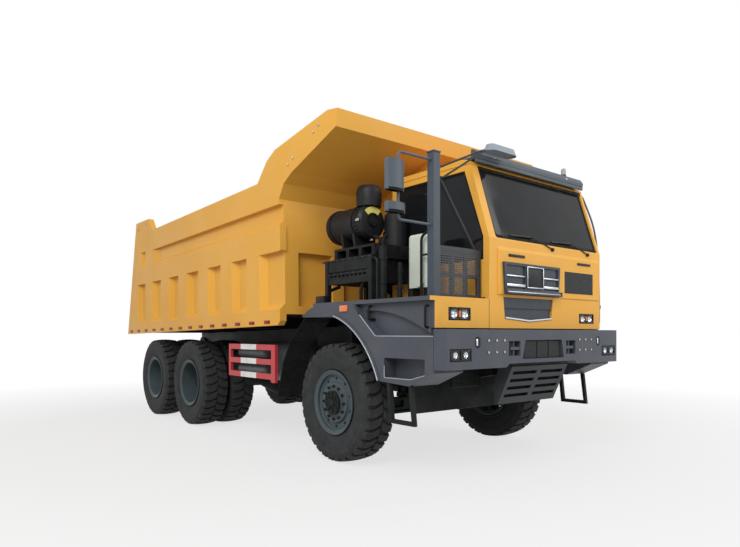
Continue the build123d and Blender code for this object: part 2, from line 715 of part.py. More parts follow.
TIE_ROD_R = 26.0
tie_rod_z = FIST_Z0 - EAR_GAP - EAR_T - BALL_GAP - BALL_R
with BuildPart() as tie_rod:
    rod((X1 - ARM_BACK, -KINGPIN_Y, tie_rod_z), (X1 - ARM_BACK, KINGPIN_Y, tie_rod_z), TIE_ROD_R)
    with Locations((X1 - ARM_BACK, -KINGPIN_Y, tie_rod_z), (X1 - ARM_BACK, KINGPIN_Y, tie_rod_z)):
        Cylinder(BALL_R, 2 * BALL_R)
save(tie_rod, "tie_rod")

# ---------------------------------------------------------------- bumper, fenders, deck

BUMPER_BACK_X = X1 + 1620.0
SEAM_X = X1 + 1790.0
BUMPER_CORNER_Y = 1655.0
FENDER_IN = 1250.0
SEAM = 4.0
LAMP_DEEP = 70.0
# lamp boxes in the bumper: near Y, far Y, foot and head above the bumper's foot
BUMPER_LAMP = (1280.0, 1610.0, 85.0, 215.0)
TOW_RECESS = (455.0, 660.0, 125.0, 290.0)
OVAL_LAMP = (1185.0, 280.0, 112.0, 62.0)  # middle Y, middle above the foot, height, width
# centre opening: half width at the foot and at the head, foot and head above the bumper's foot
CENTRE_OPENING = (410.0, 360.0, 85.0, 300.0)

with BuildPart() as front_bumper:
    plan_slab(
        (
            (NOSE_X, -BUMPER_CORNER_Y),
            (NOSE_X, BUMPER_CORNER_Y),
            (SEAM_X, BODY_HALF),
            (SEAM_X, FENDER_IN - SEAM),
            (BUMPER_BACK_X, FENDER_IN - SEAM),
            (BUMPER_BACK_X, -FENDER_IN + SEAM),
            (SEAM_X, -FENDER_IN + SEAM),
            (SEAM_X, -BODY_HALF),
        ),
        BUMPER_Z0,
        BUMPER_Z1,
    )
    # Lower edge raised over the guard
    notch = ((-700, BUMPER_Z0), (-650, BUMPER_Z0 + 40), (650, BUMPER_Z0 + 40), (700, BUMPER_Z0))
    front_slab(notch, SEAM_X, NOSE_X, Mode.SUBTRACT)
    for side in (1, -1):
        for near, far, foot, head in (BUMPER_LAMP, TOW_RECESS):
            block(
                NOSE_X - LAMP_DEEP,
                NOSE_X,
                side * near,
                side * far,
                BUMPER_Z0 + foot,
                BUMPER_Z0 + head,
                mode=Mode.SUBTRACT,
            )
        # Tow hook: a bar across its recess, on an upright pin
        near, far, foot, head = TOW_RECESS
        hook_z = BUMPER_Z0 + (foot + head) / 2
        hook_x = NOSE_X - LAMP_DEEP / 2
        block(NOSE_X - LAMP_DEEP, NOSE_X - 8, side * near, side * (far - 40), hook_z - 16, hook_z + 16)
        rod((hook_x, side * (near + 90), BUMPER_Z0 + foot), (hook_x, side * (near + 90), BUMPER_Z0 + head), 14)
        # Seat of the upright oval lamp
        lamp_y, lamp_z, lamp_h, lamp_w = OVAL_LAMP
        with BuildSketch(front_plane(NOSE_X)) as oval:
            with Locations((side * lamp_y, BUMPER_Z0 + lamp_z)):
                SlotOverall(lamp_h, lamp_w, rotation=90)
        extrude(oval.sketch, amount=-LAMP_DEEP, mode=Mode.SUBTRACT)
        # Brackets back to the rails
        block(RAIL_NOSE_X, BUMPER_BACK_X, side * RAIL_IN, side * RAIL_OUT, RAIL_Z1 - 115, RAIL_Z1 - 35)
    low_half, high_half, foot, head = CENTRE_OPENING
    centre = (
        (-low_half, BUMPER_Z0 + foot),
        (low_half, BUMPER_Z0 + foot),
        (high_half, BUMPER_Z0 + head),
        (-high_half, BUMPER_Z0 + head),
    )
    front_slab(centre, NOSE_X - LAMP_DEEP, NOSE_X, Mode.SUBTRACT)
save(front_bumper, "front_bumper")

GUARD_HALF = 550.0
GUARD_DROP = 445.0
SLOT_ROWS = 4
with BuildPart() as lower_guard:
    guard_foot = BUMPER_Z0 - GUARD_DROP
    side_slab(
        (
            (X1 + 1640, guard_foot),
            (X1 + 1680, guard_foot),
            (X1 + 1890, BUMPER_Z0),
            (X1 + 1850, BUMPER_Z0),
        ),
        -GUARD_HALF,
        GUARD_HALF,
    )
    for k in range(SLOT_ROWS):
        z = guard_foot + 80 + 90 * k
        for y0, y1 in ((-GUARD_HALF + 60, -40), (40, GUARD_HALF - 60)):
            block(X1 + 1600, X1 + 1900, y0, y1, z, z + 38, mode=Mode.SUBTRACT)
    # Side gussets
    for y in (-GUARD_HALF, GUARD_HALF - 14):
        gusset = (
            (X1 + 1640, guard_foot),
            (X1 + 1850, BUMPER_Z0),
            (X1 + 1700, BUMPER_Z0),
            (X1 + 1620, guard_foot + 200),
        )
        side_slab(gusset, y, y + 14)
save(lower_guard, "lower_guard")

FENDER_INSET = 70.0
LEDGE_Z = BUMPER_Z1 - 75
SCOOP_DEEP = 60.0
ARCH_BAND = 42.0
ARCH_PROUD = 10.0
# wheel arch from the front foot over the tyre: degrees up from straight ahead, room off the tread
ARCH = ((20.0, 217.0), (36.0, 218.0), (53.0, 234.0), (70.0, 273.0), (87.0, 329.0), (120.3, 498.5))
# a curved arch front: the points at 20, 53 and 87 degrees carry the arc
arch_front, arch_mid, arch_top, arch_back = (round_wheel(*ARCH[k]) for k in (0, 2, 4, 5))
band_front, band_mid, band_top, band_back = (
    round_wheel(angle, room + ARCH_BAND) for angle, room in (ARCH[0], ARCH[2], ARCH[4], ARCH[5])
)
LOW_STEP_X0 = arch_front[0] + 110
LOW_STEP_X1 = SEAM_X - 130
LOW_STEP_Z0 = arch_front[1] + 43
LOW_STEP_H = 220.0
STEP_DEEP = 180.0
FENDER_FOOT_Z = arch_front[1] - 32
HANDLE_R = 13.0
HANDLE_OUT = 45.0


def arch_face(plane, front, mid, top, outline):
    """Sketch bounded by the arch's arc, from its top to its front foot, and an outline."""
    with BuildSketch(plane) as face:
        with BuildLine():
            ThreePointArc(top, mid, front)
            Polyline(front, *outline, top)
        make_face()
    return face.sketch


with BuildPart() as fenders:
    for side in (1, -1):
        outer_plane = side_plane(BODY_HALF if side > 0 else -FENDER_IN)
        body = (
            (X1 + 1420, FENDER_FOOT_Z),
            (SEAM_X - 5, FENDER_FOOT_Z + 155),
            (SEAM_X - 5, DECK_Z0),
            (DECK_BACK_X, DECK_Z0),
            (X1 - 560, DECK_Z0 - 55),
            arch_back,
        )
        extrude(
            arch_face(outer_plane, arch_front, arch_mid, arch_top, body), amount=BODY_HALF - FENDER_IN
        )
        # Rolled flange round the arch
        band_plane = side_plane(BODY_HALF + ARCH_PROUD if side > 0 else -BODY_HALF + 30)
        with BuildSketch(band_plane) as band:
            with BuildLine():
                ThreePointArc(arch_top, arch_mid, arch_front)
                Line(arch_front, band_front)
                ThreePointArc(band_front, band_mid, band_top)
                Polyline(band_top, band_back, arch_back, arch_top)
            make_face()
        extrude(band.sketch, amount=ARCH_PROUD + 30)
        # Upper front part: stepped in behind the ledge, with a scoop under a curved edge
        step_in = side * (BODY_HALF - FENDER_INSET)
        pocket = (
            (X1 + 480, DECK_Z0),
            (X1 + 570, LEDGE_Z + 250),
            (X1 + 860, LEDGE_Z),
            (SEAM_X, LEDGE_Z),
            (SEAM_X, DECK_Z0),
        )
        side_slab(pocket, step_in, side * (BODY_HALF + ARCH_PROUD), Mode.SUBTRACT)
        scoop_plane = side_plane(max(step_in, step_in - side * SCOOP_DEEP))
        with BuildSketch(scoop_plane) as scoop:
            with BuildLine():
                ThreePointArc(
                    (X1 + 600, LEDGE_Z + 300), (X1 + 1180, LEDGE_Z + 230), (X1 + 1690, LEDGE_Z + 20)
                )
                Polyline(
                    (X1 + 1690, LEDGE_Z + 20),
                    (X1 + 880, LEDGE_Z + 20),
                    (X1 + 640, LEDGE_Z + 220),
                    (X1 + 600, LEDGE_Z + 300),
                )
            make_face()
        extrude(scoop.sketch, amount=SCOOP_DEEP, mode=Mode.SUBTRACT)
        # Seam between the rear part and the step's panel
        seam = (
            (X1 + 448, DECK_Z0),
            (X1 + 467, LEDGE_Z + 350),
            (X1 + 525, LEDGE_Z + 280),
            (X1 + 610, LEDGE_Z + 190),
            (X1 + 618, LEDGE_Z + 202),
            (X1 + 539, LEDGE_Z + 288),
            (X1 + 482, LEDGE_Z + 354),
            (X1 + 464, DECK_Z0),
        )
        side_slab(seam, side * (BODY_HALF - 20), side * (BODY_HALF + ARCH_PROUD), Mode.SUBTRACT)
        # Room behind the cab skirt and the deck's front panel
        y_in = side * FENDER_IN
        block(PANEL_X - PANEL_T, SEAM_X, y_in, step_in, LEDGE_Z, DECK_Z0, mode=Mode.SUBTRACT)
        # Low step with a sloping front lip
        step = (
            (LOW_STEP_X0, LOW_STEP_Z0),
            (LOW_STEP_X1 - 220, LOW_STEP_Z0),
            (LOW_STEP_X1, LOW_STEP_Z0 + 55),
            (LOW_STEP_X1, LOW_STEP_Z0 + LOW_STEP_H),
            (LOW_STEP_X0, LOW_STEP_Z0 + LOW_STEP_H),
        )
        side_slab(step, side * (BODY_HALF - STEP_DEEP), side * (BODY_HALF + ARCH_PROUD), Mode.SUBTRACT)
save(fenders, "fenders")

STEP_TUBE = 45.0
LADDER_DROP = 425.0  # below the fender's foot
with BuildPart() as step_ladders:
    foot_z = FENDER_FOOT_Z - LADDER_DROP
    for side in (1, -1):
        y0 = side * (BODY_HALF - 60)
        ladder = (
            (LOW_STEP_X0 + 25, FENDER_FOOT_Z + 20.5),
            (LOW_STEP_X0 + 70, FENDER_FOOT_Z + 17.5),
            (LOW_STEP_X0 + 115, foot_z + STEP_TUBE),
            (X1 + 1445, foot_z + STEP_TUBE),
            (X1 + 1395, FENDER_FOOT_Z),
            (X1 + 1440, FENDER_FOOT_Z),
            (X1 + 1490, foot_z),
            (LOW_STEP_X0 + 70, foot_z),
        )
        side_slab(ladder, y0, y0 + side * STEP_TUBE)
        # Grab handles on the stepped-in panel
        panel_y = side * (BODY_HALF - FENDER_INSET)
        grip_y = panel_y + side * HANDLE_OUT
        # handle: X, low and high foot above the ledge, how much deeper the low foot stands
        for x, low, high, deep in ((X1 + 705, 195, 345, SCOOP_DEEP), (X1 + 1640, 95, 320, 0)):
            z0, z1 = LEDGE_Z + low, LEDGE_Z + high
            foot_y = panel_y - side * deep
            bent_tube(((x, foot_y, z0), (x, grip_y, z0), (x, grip_y, z1), (x, panel_y, z1)), 20, HANDLE_R)
save(step_ladders, "step_ladders")

# Black flaps behind the front wheels: degrees from straight ahead, room off the tread
FLAP = ((120.3, 498.5), (123.0, 479.5), (142.2, 503.0), (157.5, 506.0), (181.4, 585.0))
FLAP_T = 14.0
with BuildPart() as mudguards:
    flap_outer = [round_wheel(angle, room) for angle, room in FLAP]
    flap_inner = [round_wheel(angle, room - FLAP_T) for angle, room in reversed(FLAP)]
    for side in (1, -1):
        side_slab((*flap_outer, *flap_inner), side * 1270, side * 1690)
        # Stay from the rail to the flap
        stay_x, stay_z = round_wheel(*FLAP[2])
        block(stay_x - 30, stay_x + 6, side * RAIL_OUT, side * 1275, stay_z - 262, stay_z - 202)
        block(stay_x - 30, stay_x + 6, side * 1240, side * 1275, stay_z - 262, stay_z)
save(mudguards, "mudguards")

DECK_LAMP = (-1430.0, -1080.0)
LAMP_SEAT_DEEP = 40.0
with BuildPart() as deck_platform:
    block(DECK_BACK_X, PANEL_X, -BODY_HALF, CAB_RIGHT - SEAM, DECK_Z0, DECK_Z1)
    block(DECK_BACK_X, PANEL_X - PANEL_T - SEAM, CAB_RIGHT - SEAM, BODY_HALF, DECK_Z0, DECK_Z1)
    # Front panel beside the cab
    panel_right = -BODY_HALF + FENDER_INSET
    block(PANEL_X - PANEL_T, PANEL_X, panel_right, CAB_RIGHT - SEAM, PANEL_Z0, DECK_Z0)
    lamp_z0 = PANEL_Z0 + 80
    block(PANEL_X - LAMP_SEAT_DEEP, PANEL_X, *DECK_LAMP, lamp_z0, lamp_z0 + 140, mode=Mode.SUBTRACT)
    # Legs down to the rails
    for x in (X1 - 300, X1 + 1350):
        for side in (1, -1):
            block(x - 40, x + 40, side * RAIL_IN, side * RAIL_OUT, RAIL_Z1, DECK_Z0)
save(deck_platform, "deck_platform")

POST = 95.0
POST_X = X1 + 1622.0
POST_Y = -1530.0
POST_TOP = DECK_Z1 + 1520.0
SCREEN_TOP = 490.0  # framed screen above the deck
SCREEN_BAR = 40.0
SCREEN_CELLS = 3
with BuildPart() as deck_railing:
    half = POST / 2
    block(POST_X - half, POST_X + half, POST_Y - half, POST_Y + half, DECK_Z1, POST_TOP)
    block(POST_X - half - 8, POST_X + half + 8, POST_Y - half - 8, POST_Y + half + 8, POST_TOP, POST_TOP + 12)
    # Framed screen between the post and the cab
    panel_y0, panel_y1 = POST_Y + half, CAB_RIGHT - 30
    block(POST_X - 25, POST_X + 15, panel_y0, panel_y1, DECK_Z1, DECK_Z1 + SCREEN_TOP)
    cell = (panel_y1 - panel_y0 - SCREEN_BAR) / SCREEN_CELLS
    row_h = (SCREEN_TOP - 3 * SCREEN_BAR) / 2
    for k in range(SCREEN_CELLS):
        y = panel_y0 + SCREEN_BAR + k * cell
        for row in range(2):
            z = DECK_Z1 + SCREEN_BAR + row * (row_h + SCREEN_BAR)
            block(POST_X - 30, POST_X + 20, y, y + cell - SCREEN_BAR, z, z + row_h, mode=Mode.SUBTRACT)
    # Brace from the post's head to the screen's inner end
    rod((POST_X - 5, POST_Y + 20, POST_TOP - 170), (POST_X - 5, panel_y1 - 30, DECK_Z1 + SCREEN_TOP - 15), 20)
save(deck_railing, "deck_railing")

# ---------------------------------------------------------------- equipment on the deck

AIR_Y = -1200.0
AIR_Z = DECK_Z1 + 1035.0
AIR_R = 235.0
AIR_X0, AIR_X1 = X1 - 540.0, X1 + 215.0
TABLE_Z = DECK_Z1 + 540.0
RISER_H = 160.0
BOWL_X, BOWL_Y = X1 + 110.0, AIR_Y + 20
with BuildPart() as air_cleaner:
    # Drum turned with its rolled bands, dished back and stepped cap
    with BuildSketch(Plane(origin=(0, AIR_Y, AIR_Z), x_dir=(1, 0, 0), z_dir=(0, -1, 0))) as section:
        with BuildLine():
            Polyline(
                (AIR_X0, 0),
                (AIR_X0, AIR_R - 70),
                (AIR_X0 + 35, AIR_R - 12),
                (AIR_X0 + 90, AIR_R - 12),
                (AIR_X0 + 90, AIR_R),
                (AIR_X0 + 120, AIR_R),
                (AIR_X0 + 120, AIR_R - 12),
                (AIR_X1 - 200, AIR_R - 12),
                (AIR_X1 - 200, AIR_R),
                (AIR_X1 - 165, AIR_R),
                (AIR_X1 - 165, AIR_R - 14),
                (AIR_X1 - 40, AIR_R - 14),
                (AIR_X1, AIR_R - 45),
                (AIR_X1 + 8, AIR_R - 130),
                (AIR_X1 - 12, AIR_R - 135),
                (AIR_X1 - 12, 62),
                (AIR_X1 + 22, 56),
                (AIR_X1 + 22, 0),
                close=True,
            )
        make_face()
    revolve(section.sketch, axis=Axis((0, AIR_Y, AIR_Z), (1, 0, 0)))
    # Saddle feet on the table's risers
    for x in (AIR_X0 + 330, AIR_X1 - 182):
        foot = (
            (AIR_Y - 150, TABLE_Z + RISER_H),
            (AIR_Y + 150, TABLE_Z + RISER_H),
            (AIR_Y + 190, AIR_Z - 90),
            (AIR_Y - 190, AIR_Z - 90),
        )
        front_slab(foot, x - 22, x + 22)
    # Pre-cleaner bowl on the drum's neck
    bowl_z = DECK_Z1 + 1500
    with BuildSketch(Plane(origin=(BOWL_X, BOWL_Y, 0), x_dir=(1, 0, 0), z_dir=(0, -1, 0))) as bowl:
        with BuildLine():
            Polyline((0, AIR_Z), (95, AIR_Z), (95, bowl_z - 190), (150, bowl_z - 175), (165, bowl_z - 90))
            ThreePointArc((165, bowl_z - 90), (125, bowl_z - 22), (60, bowl_z))
            Polyline((60, bowl_z), (0, bowl_z), (0, AIR_Z))
        make_face()
    revolve(bowl.sketch, axis=Axis((BOWL_X, BOWL_Y, 0), (0, 0, 1)))
save(air_cleaner, "air_cleaner")

LOUVRES = 9
# upright pipe: X, Y, height above the deck, radius
PIPES = ((X1 + 735.0, -1480.0, 640.0, 48.0), (X1 + 780.0, -1250.0, 460.0, 30.0))
STAND_X0, STAND_X1 = X1 - 275.0, X1 + 670.0
STAND_Y0, STAND_Y1 = -1600.0, -900.0
LEG = 60.0
BOX_H = 290.0
with BuildPart() as equipment_stand:
    # Table on four legs
    block(STAND_X0 - 65, STAND_X1, STAND_Y0, STAND_Y1, TABLE_Z - 20, TABLE_Z)
    for x in (STAND_X0, STAND_X1 - LEG):
        for y in (STAND_Y0, STAND_Y1 - LEG):
            block(x, x + LEG, y, y + LEG, DECK_Z1, TABLE_Z - 20)
    # Riser under the drum, open in three bays
    riser_x0, riser_x1 = X1 - 260.0, X1 + 560.0
    block(riser_x0, riser_x1, AIR_Y - 260, AIR_Y + 240, TABLE_Z, TABLE_Z + RISER_H)
    bay = (riser_x1 - riser_x0 - 60) / 3
    for k in range(3):
        x = riser_x0 + 60 + k * bay
        block(x, x + bay - 60, AIR_Y - 270, AIR_Y + 250, TABLE_Z + 35, TABLE_Z + RISER_H - 30, mode=Mode.SUBTRACT)
    # Two-layer cabinet hung under the table, with a row of louvres
    box_z0 = TABLE_Z - 20 - BOX_H
    box_x0, box_x1 = STAND_X0 + LEG + 5, STAND_X1 - LEG - 5
    block(box_x0, box_x1, STAND_Y0 + 8, STAND_Y1 - 40, box_z0, TABLE_Z - 20)
    block(box_x0 - 5, box_x1 + 5, STAND_Y0 + 8, STAND_Y0 + 25, box_z0 + 135, box_z0 + 155, mode=Mode.SUBTRACT)
    louvre = (box_x1 - box_x0 - 60) / LOUVRES
    for k in range(LOUVRES):
        x = box_x0 + 40 + k * louvre
        block(x, x + louvre - 25, STAND_Y0 + 8, STAND_Y0 + 30, box_z0 + 85, box_z0 + 112, mode=Mode.SUBTRACT)
    # Pipes that rise beside the stand, with their clamp collars
    for x, y, top, radius in PIPES:
        rod((x, y, DECK_Z1), (x, y, DECK_Z1 + top), radius)
        for share in (0.3, 0.75):
            z = DECK_Z1 + share * top
            rod((x, y, z), (x, y, z + 30), radius + 10)
    bent_tube(
        (
            (STAND_X1 + 70, STAND_Y0 + 30, DECK_Z1),
            (STAND_X1 + 70, STAND_Y0 + 30, TABLE_Z - 40),
            (STAND_X1 - 20, STAND_Y0 + 30, TABLE_Z - 40),
        ),
        60,
        16,
    )
save(equipment_stand, "equipment_stand")

MUFFLER_X, MUFFLER_Y = X1 - 110.0, -560.0
MUFFLER_Z0, MUFFLER_Z1 = DECK_Z1 + 150, DECK_Z1 + 1050
with BuildPart() as exhaust_muffler:
    with BuildSketch(Plane(origin=(MUFFLER_X, MUFFLER_Y, 0), x_dir=(1, 0, 0), z_dir=(0, -1, 0))) as can:
        with BuildLine():
            Polyline(
                (0, DECK_Z1),
                (60, DECK_Z1),
                (60, MUFFLER_Z0),
                (150, MUFFLER_Z0 + 45),
                (150, MUFFLER_Z1 - 45),
                (60, MUFFLER_Z1),
                (60, MUFFLER_Z1 + 250),
                (48, MUFFLER_Z1 + 250),
                (48, MUFFLER_Z1 + 60),
                (0, MUFFLER_Z1 + 60),
                close=True,
            )
        make_face()
    revolve(can.sketch, axis=Axis((MUFFLER_X, MUFFLER_Y, 0), (0, 0, 1)))
save(exhaust_muffler, "exhaust_muffler")

TANK_X0, TANK_X1 = X1 + 790.0, X1 + 1130.0
TANK_Y0, TANK_Y1 = -1140.0, -960.0
TANK_FOOT = 150.0
with BuildPart() as header_tank:
    block(TANK_X0, TANK_X1, TANK_Y0, TANK_Y1, DECK_Z1 + TANK_FOOT, DECK_Z1 + TANK_FOOT + 640)
    fillet(header_tank.edges().filter_by(Axis.Z), 55)
    fillet(header_tank.edges().group_by(Axis.Z)[-1], 40)
    # Filler neck low on the outer face and its cap
    cap_x, cap_z = TANK_X1 - 90, DECK_Z1 + TANK_FOOT + 60
    rod((cap_x, TANK_Y0 + 20, cap_z), (cap_x, TANK_Y0 - 26, cap_z), 44)
    rod((cap_x, TANK_Y0 - 26, cap_z), (cap_x, TANK_Y0 - 44, cap_z), 52)
    # Feet on the deck
    for x in (TANK_X0 + 20, TANK_X1 - 80):
        block(x, x + 60, TANK_Y0 + 20, TANK_Y1 - 20, DECK_Z1, DECK_Z1 + TANK_FOOT)
save(header_tank, "header_tank")

MIRROR_OUT = 2195.0
ARM_R = 14.0
# mirror housing: near Y, far Y, foot and head above the deck
RIGHT_MIRRORS = ((1980.0, MIRROR_OUT, 1030.0, 1350.0), (1965.0, MIRROR_OUT, 812.0, 922.0))
MIRROR_T = 50.0
DISH_LEN, DISH_W, DISH_H = 500.0, 170.0, 80.0
DISH_TAPER = 20.0
DISH_HOLLOW = 14.0
STALK_Y = 2035.0
with BuildPart() as mirrors:
    mirror_x0 = POST_X - 24
    stalk_x = mirror_x0 + MIRROR_T / 2
    for near, far, foot, head in RIGHT_MIRRORS:
        block(mirror_x0, mirror_x0 + MIRROR_T, -far, -near, DECK_Z1 + foot, DECK_Z1 + head)
    fillet(mirrors.edges().filter_by(Axis.X), 18)
    post_side = POST_Y - POST / 2
    arm_low, arm_high = DECK_Z1 + 755, DECK_Z1 + 1440
    # One tube: out from the post, down through both housings and back to the post
    bent_tube(
        (
            (stalk_x, post_side, arm_high),
            (stalk_x, -STALK_Y, arm_high),
            (stalk_x, -STALK_Y, arm_low),
            (stalk_x, post_side, arm_low),
        ),
        45,
        ARM_R,
    )
    # Overhead mirror: a shallow oval dish, hollow below, on two rods from the post
    dish_x, dish_y, dish_z = POST_X + 18, -450.0, DECK_Z1 + 1700
    with BuildSketch(Plane.XY.offset(dish_z)) as dish:
        with Locations((dish_x, dish_y)):
            SlotOverall(DISH_LEN, DISH_W, rotation=90)
    extrude(dish.sketch, amount=DISH_H, taper=DISH_TAPER)
    with BuildSketch(Plane.XY.offset(dish_z)) as hollow:
        with Locations((dish_x, dish_y)):
            SlotOverall(DISH_LEN - 24, DISH_W - 24, rotation=90)
    extrude(hollow.sketch, amount=DISH_HOLLOW, mode=Mode.SUBTRACT)
    # rod to the dish: ahead of the post's middle, foot above the deck
    post_face = POST_Y + POST / 2
    for ahead, foot in ((0, 1390), (28, 1270)):
        x, z = POST_X + ahead, DECK_Z1 + foot
        bent_tube(((x, post_face, z), (x, post_face + 60, z), (x, dish_y - DISH_LEN / 2 + 40, dish_z + 35)), 25, 11)
save(mirrors, "mirrors")

# ---------------------------------------------------------------- cab

CAB_SKIN_X = PANEL_X - PANEL_T
FRONT_TOP_Z = SCREEN_Z0 - 50
SCREEN_TOP_X = PANEL_X - SCREEN_RUN
SCREEN_TILT = atan2(SCREEN_RUN, SCREEN_RISE)
RIGHT_PILLAR, LEFT_PILLAR = 121.0, 45.0
DOOR_X0, DOOR_X1 = X1 + 520.0, X1 + 1420.0
DOOR_Z0, DOOR_Z1 = CAB_Z0 + 70, CAB_EAVE_Z - 110
DOOR_SLANT_Z = SCREEN_Z0 + 110
DOOR_TOP_X1 = DOOR_X1 - (DOOR_Z1 - DOOR_SLANT_Z) * tan(SCREEN_TILT)
DOOR_T = 52.0
DOOR_HINGE_X = DOOR_X1 + 30.0
DOOR_HINGE_Y = CAB_LEFT + 16.0
DOOR_HINGE_Z = (CAB_Z0 + 270, CAB_Z0 + 670)
HINGE_KNUCKLE_R = 14.0
HINGE_PIN = 8.0
HINGE_H = 56.0
HINGE_LUG_H = 24.0
SILL_Z = CAB_Z0 + 430

cab_outline = (
    (CAB_BACK_X, CAB_Z0),
    (CAB_SKIN_X, CAB_Z0),
    (CAB_SKIN_X, FRONT_TOP_Z),
    (PANEL_X, FRONT_TOP_Z),
    (PANEL_X, SCREEN_Z0),
    (SCREEN_TOP_X, CAB_EAVE_Z),
    (CAB_BACK_X, CAB_EAVE_Z),
)
cab_inside = (
    (CAB_BACK_X + CAB_WALL, CAB_Z0 + CAB_WALL),
    (CAB_SKIN_X - CAB_WALL, CAB_Z0 + CAB_WALL),
    (CAB_SKIN_X - CAB_WALL, FRONT_TOP_Z + 20),
    (PANEL_X - CAB_WALL, FRONT_TOP_Z + CAB_WALL),
    (SCREEN_TOP_X - CAB_WALL / cos(SCREEN_TILT), CAB_EAVE_Z),
    (CAB_BACK_X + CAB_WALL, CAB_EAVE_Z),
)
door_outline = (
    (DOOR_X0, DOOR_Z0),
    (DOOR_X1, DOOR_Z0),
    (DOOR_X1, DOOR_SLANT_Z),
    (DOOR_TOP_X1, DOOR_Z1),
    (DOOR_X0, DOOR_Z1),
)
door_hole = (
    (DOOR_X0 - DOOR_GAP, DOOR_Z0 - DOOR_GAP),
    (DOOR_X1 + DOOR_GAP, DOOR_Z0 - DOOR_GAP),
    (DOOR_X1 + DOOR_GAP, DOOR_SLANT_Z + 4),
    (DOOR_TOP_X1 + DOOR_GAP, DOOR_Z1 + DOOR_GAP),
    (DOOR_X0 - DOOR_GAP, DOOR_Z1 + DOOR_GAP),
)
window_outline = (
    (DOOR_X0 + 90, SILL_Z + 110),
    (DOOR_X1 - 80, SILL_Z + 110),
    (DOOR_X1 - 80, DOOR_SLANT_Z),
    (DOOR_TOP_X1 - 70, DOOR_Z1 - 80),
    (DOOR_X0 + 90, DOOR_Z1 - 80),
)
side_window_outline = (
    (CAB_BACK_X + 70, SILL_Z),
    (CAB_SKIN_X - 25, SILL_Z),
    (CAB_SKIN_X - 25, SCREEN_Z0 + 20),
    (SCREEN_TOP_X - 85, CAB_EAVE_Z - 70),
    (CAB_BACK_X + 70, CAB_EAVE_Z - 70),
)
# rear window: near Y, far Y, foot, head
REAR_WINDOW = (-250, 1050, SCREEN_Z0 - 40, CAB_EAVE_Z - 230)
screen_plane = Plane(
    origin=(PANEL_X, (CAB_LEFT - LEFT_PILLAR + CAB_RIGHT + RIGHT_PILLAR) / 2, SCREEN_Z0),
    x_dir=(0, 1, 0),
    z_dir=(cos(SCREEN_TILT), 0, sin(SCREEN_TILT)),
)
SCREEN_W = CAB_LEFT - LEFT_PILLAR - CAB_RIGHT - RIGHT_PILLAR
SCREEN_FOOT, SCREEN_HEAD = 12.0, 32.0
SCREEN_H = hypot(SCREEN_RUN, SCREEN_RISE) - SCREEN_FOOT - SCREEN_HEAD


def screen_slab(depth, start, mode=Mode.ADD):
    """The windscreen's outline, from start below the slanted face and depth thick."""
    with BuildSketch(screen_plane.offset(-start)) as pane:
        with Locations((0, SCREEN_FOOT + SCREEN_H / 2)):
            RectangleRounded(SCREEN_W, SCREEN_H, 35)
    extrude(pane.sketch, amount=-depth, mode=mode)


with BuildPart() as cab_shell:
    side_slab(cab_outline, CAB_RIGHT, CAB_LEFT)
    side_slab(cab_inside, CAB_RIGHT + CAB_WALL, CAB_LEFT - CAB_WALL, Mode.SUBTRACT)
    screen_slab(160, -40, Mode.SUBTRACT)
    side_slab(side_window_outline, CAB_RIGHT - 5, CAB_RIGHT + CAB_WALL + 5, Mode.SUBTRACT)
    side_slab(door_hole, CAB_LEFT - CAB_WALL - 5, CAB_LEFT + 5, Mode.SUBTRACT)
    block(CAB_BACK_X - 5, CAB_BACK_X + CAB_WALL + 5, *REAR_WINDOW, mode=Mode.SUBTRACT)
    # Pressed rib along the right side below the window
    rib = rectangle(CAB_BACK_X + 60, CAB_SKIN_X - 60, SILL_Z - 250, SILL_Z - 90)
    side_slab(rib, CAB_RIGHT, CAB_RIGHT + 10, Mode.SUBTRACT)
    # Mounting feet to the deck
    for x in (CAB_BACK_X + 60, CAB_SKIN_X - 160):
        for y in (CAB_RIGHT + 120, CAB_LEFT - 200):
            block(x, x + 90, y, y + 90, DECK_Z1, CAB_Z0)
    # Door hinges: a pin between two lugs on the front pillar
    for z in DOOR_HINGE_Z:
        with Locations((DOOR_HINGE_X, DOOR_HINGE_Y, z)):
            Cylinder(HINGE_PIN, HINGE_H + 2 * HINGE_LUG_H + 6)
        for lug_z in (z - HINGE_H / 2 - 14, z + HINGE_H / 2 + 14):
            with Locations((DOOR_HINGE_X, DOOR_HINGE_Y, lug_z)):
                Cylinder(HINGE_KNUCKLE_R, HINGE_LUG_H)
            lug_half = HINGE_LUG_H / 2
            block(
                DOOR_HINGE_X - 10, DOOR_HINGE_X + 14, CAB_LEFT, DOOR_HINGE_Y, lug_z - lug_half, lug_z + lug_half
            )
save(cab_shell, "cab_shell")

with BuildPart() as cab_roof:
    side_slab(
        (
            (CAB_BACK_X - 20, CAB_EAVE_Z),
            (SCREEN_TOP_X + 6, CAB_EAVE_Z),
            (SCREEN_TOP_X - 30, CAB_TOP_Z - 20),
            (SCREEN_TOP_X - 110, CAB_TOP_Z),
            (CAB_BACK_X + 60, CAB_TOP_Z),
            (CAB_BACK_X, CAB_TOP_Z - 30),
        ),
        CAB_RIGHT - 8,
        CAB_LEFT + 8,
    )
    # Pressed ribs in the roof
    for k in range(5):
        y = CAB_RIGHT + 300 + 400 * k
        block(CAB_BACK_X + 160, SCREEN_TOP_X - 200, y, y + 120, CAB_TOP_Z - 12, CAB_TOP_Z, mode=Mode.SUBTRACT)
save(cab_roof, "cab_roof")

GRILLE_Y0, GRILLE_Y1 = -550.0, 560.0
GRILLE_Z0, GRILLE_Z1 = CAB_Z0 + 40, CAB_Z0 + 412
HATCH_T = 12.0
HATCH = (-625.0, 1510.0, CAB_Z0 + 38, CAB_Z0 + 585)  # right Y, left Y, foot, head
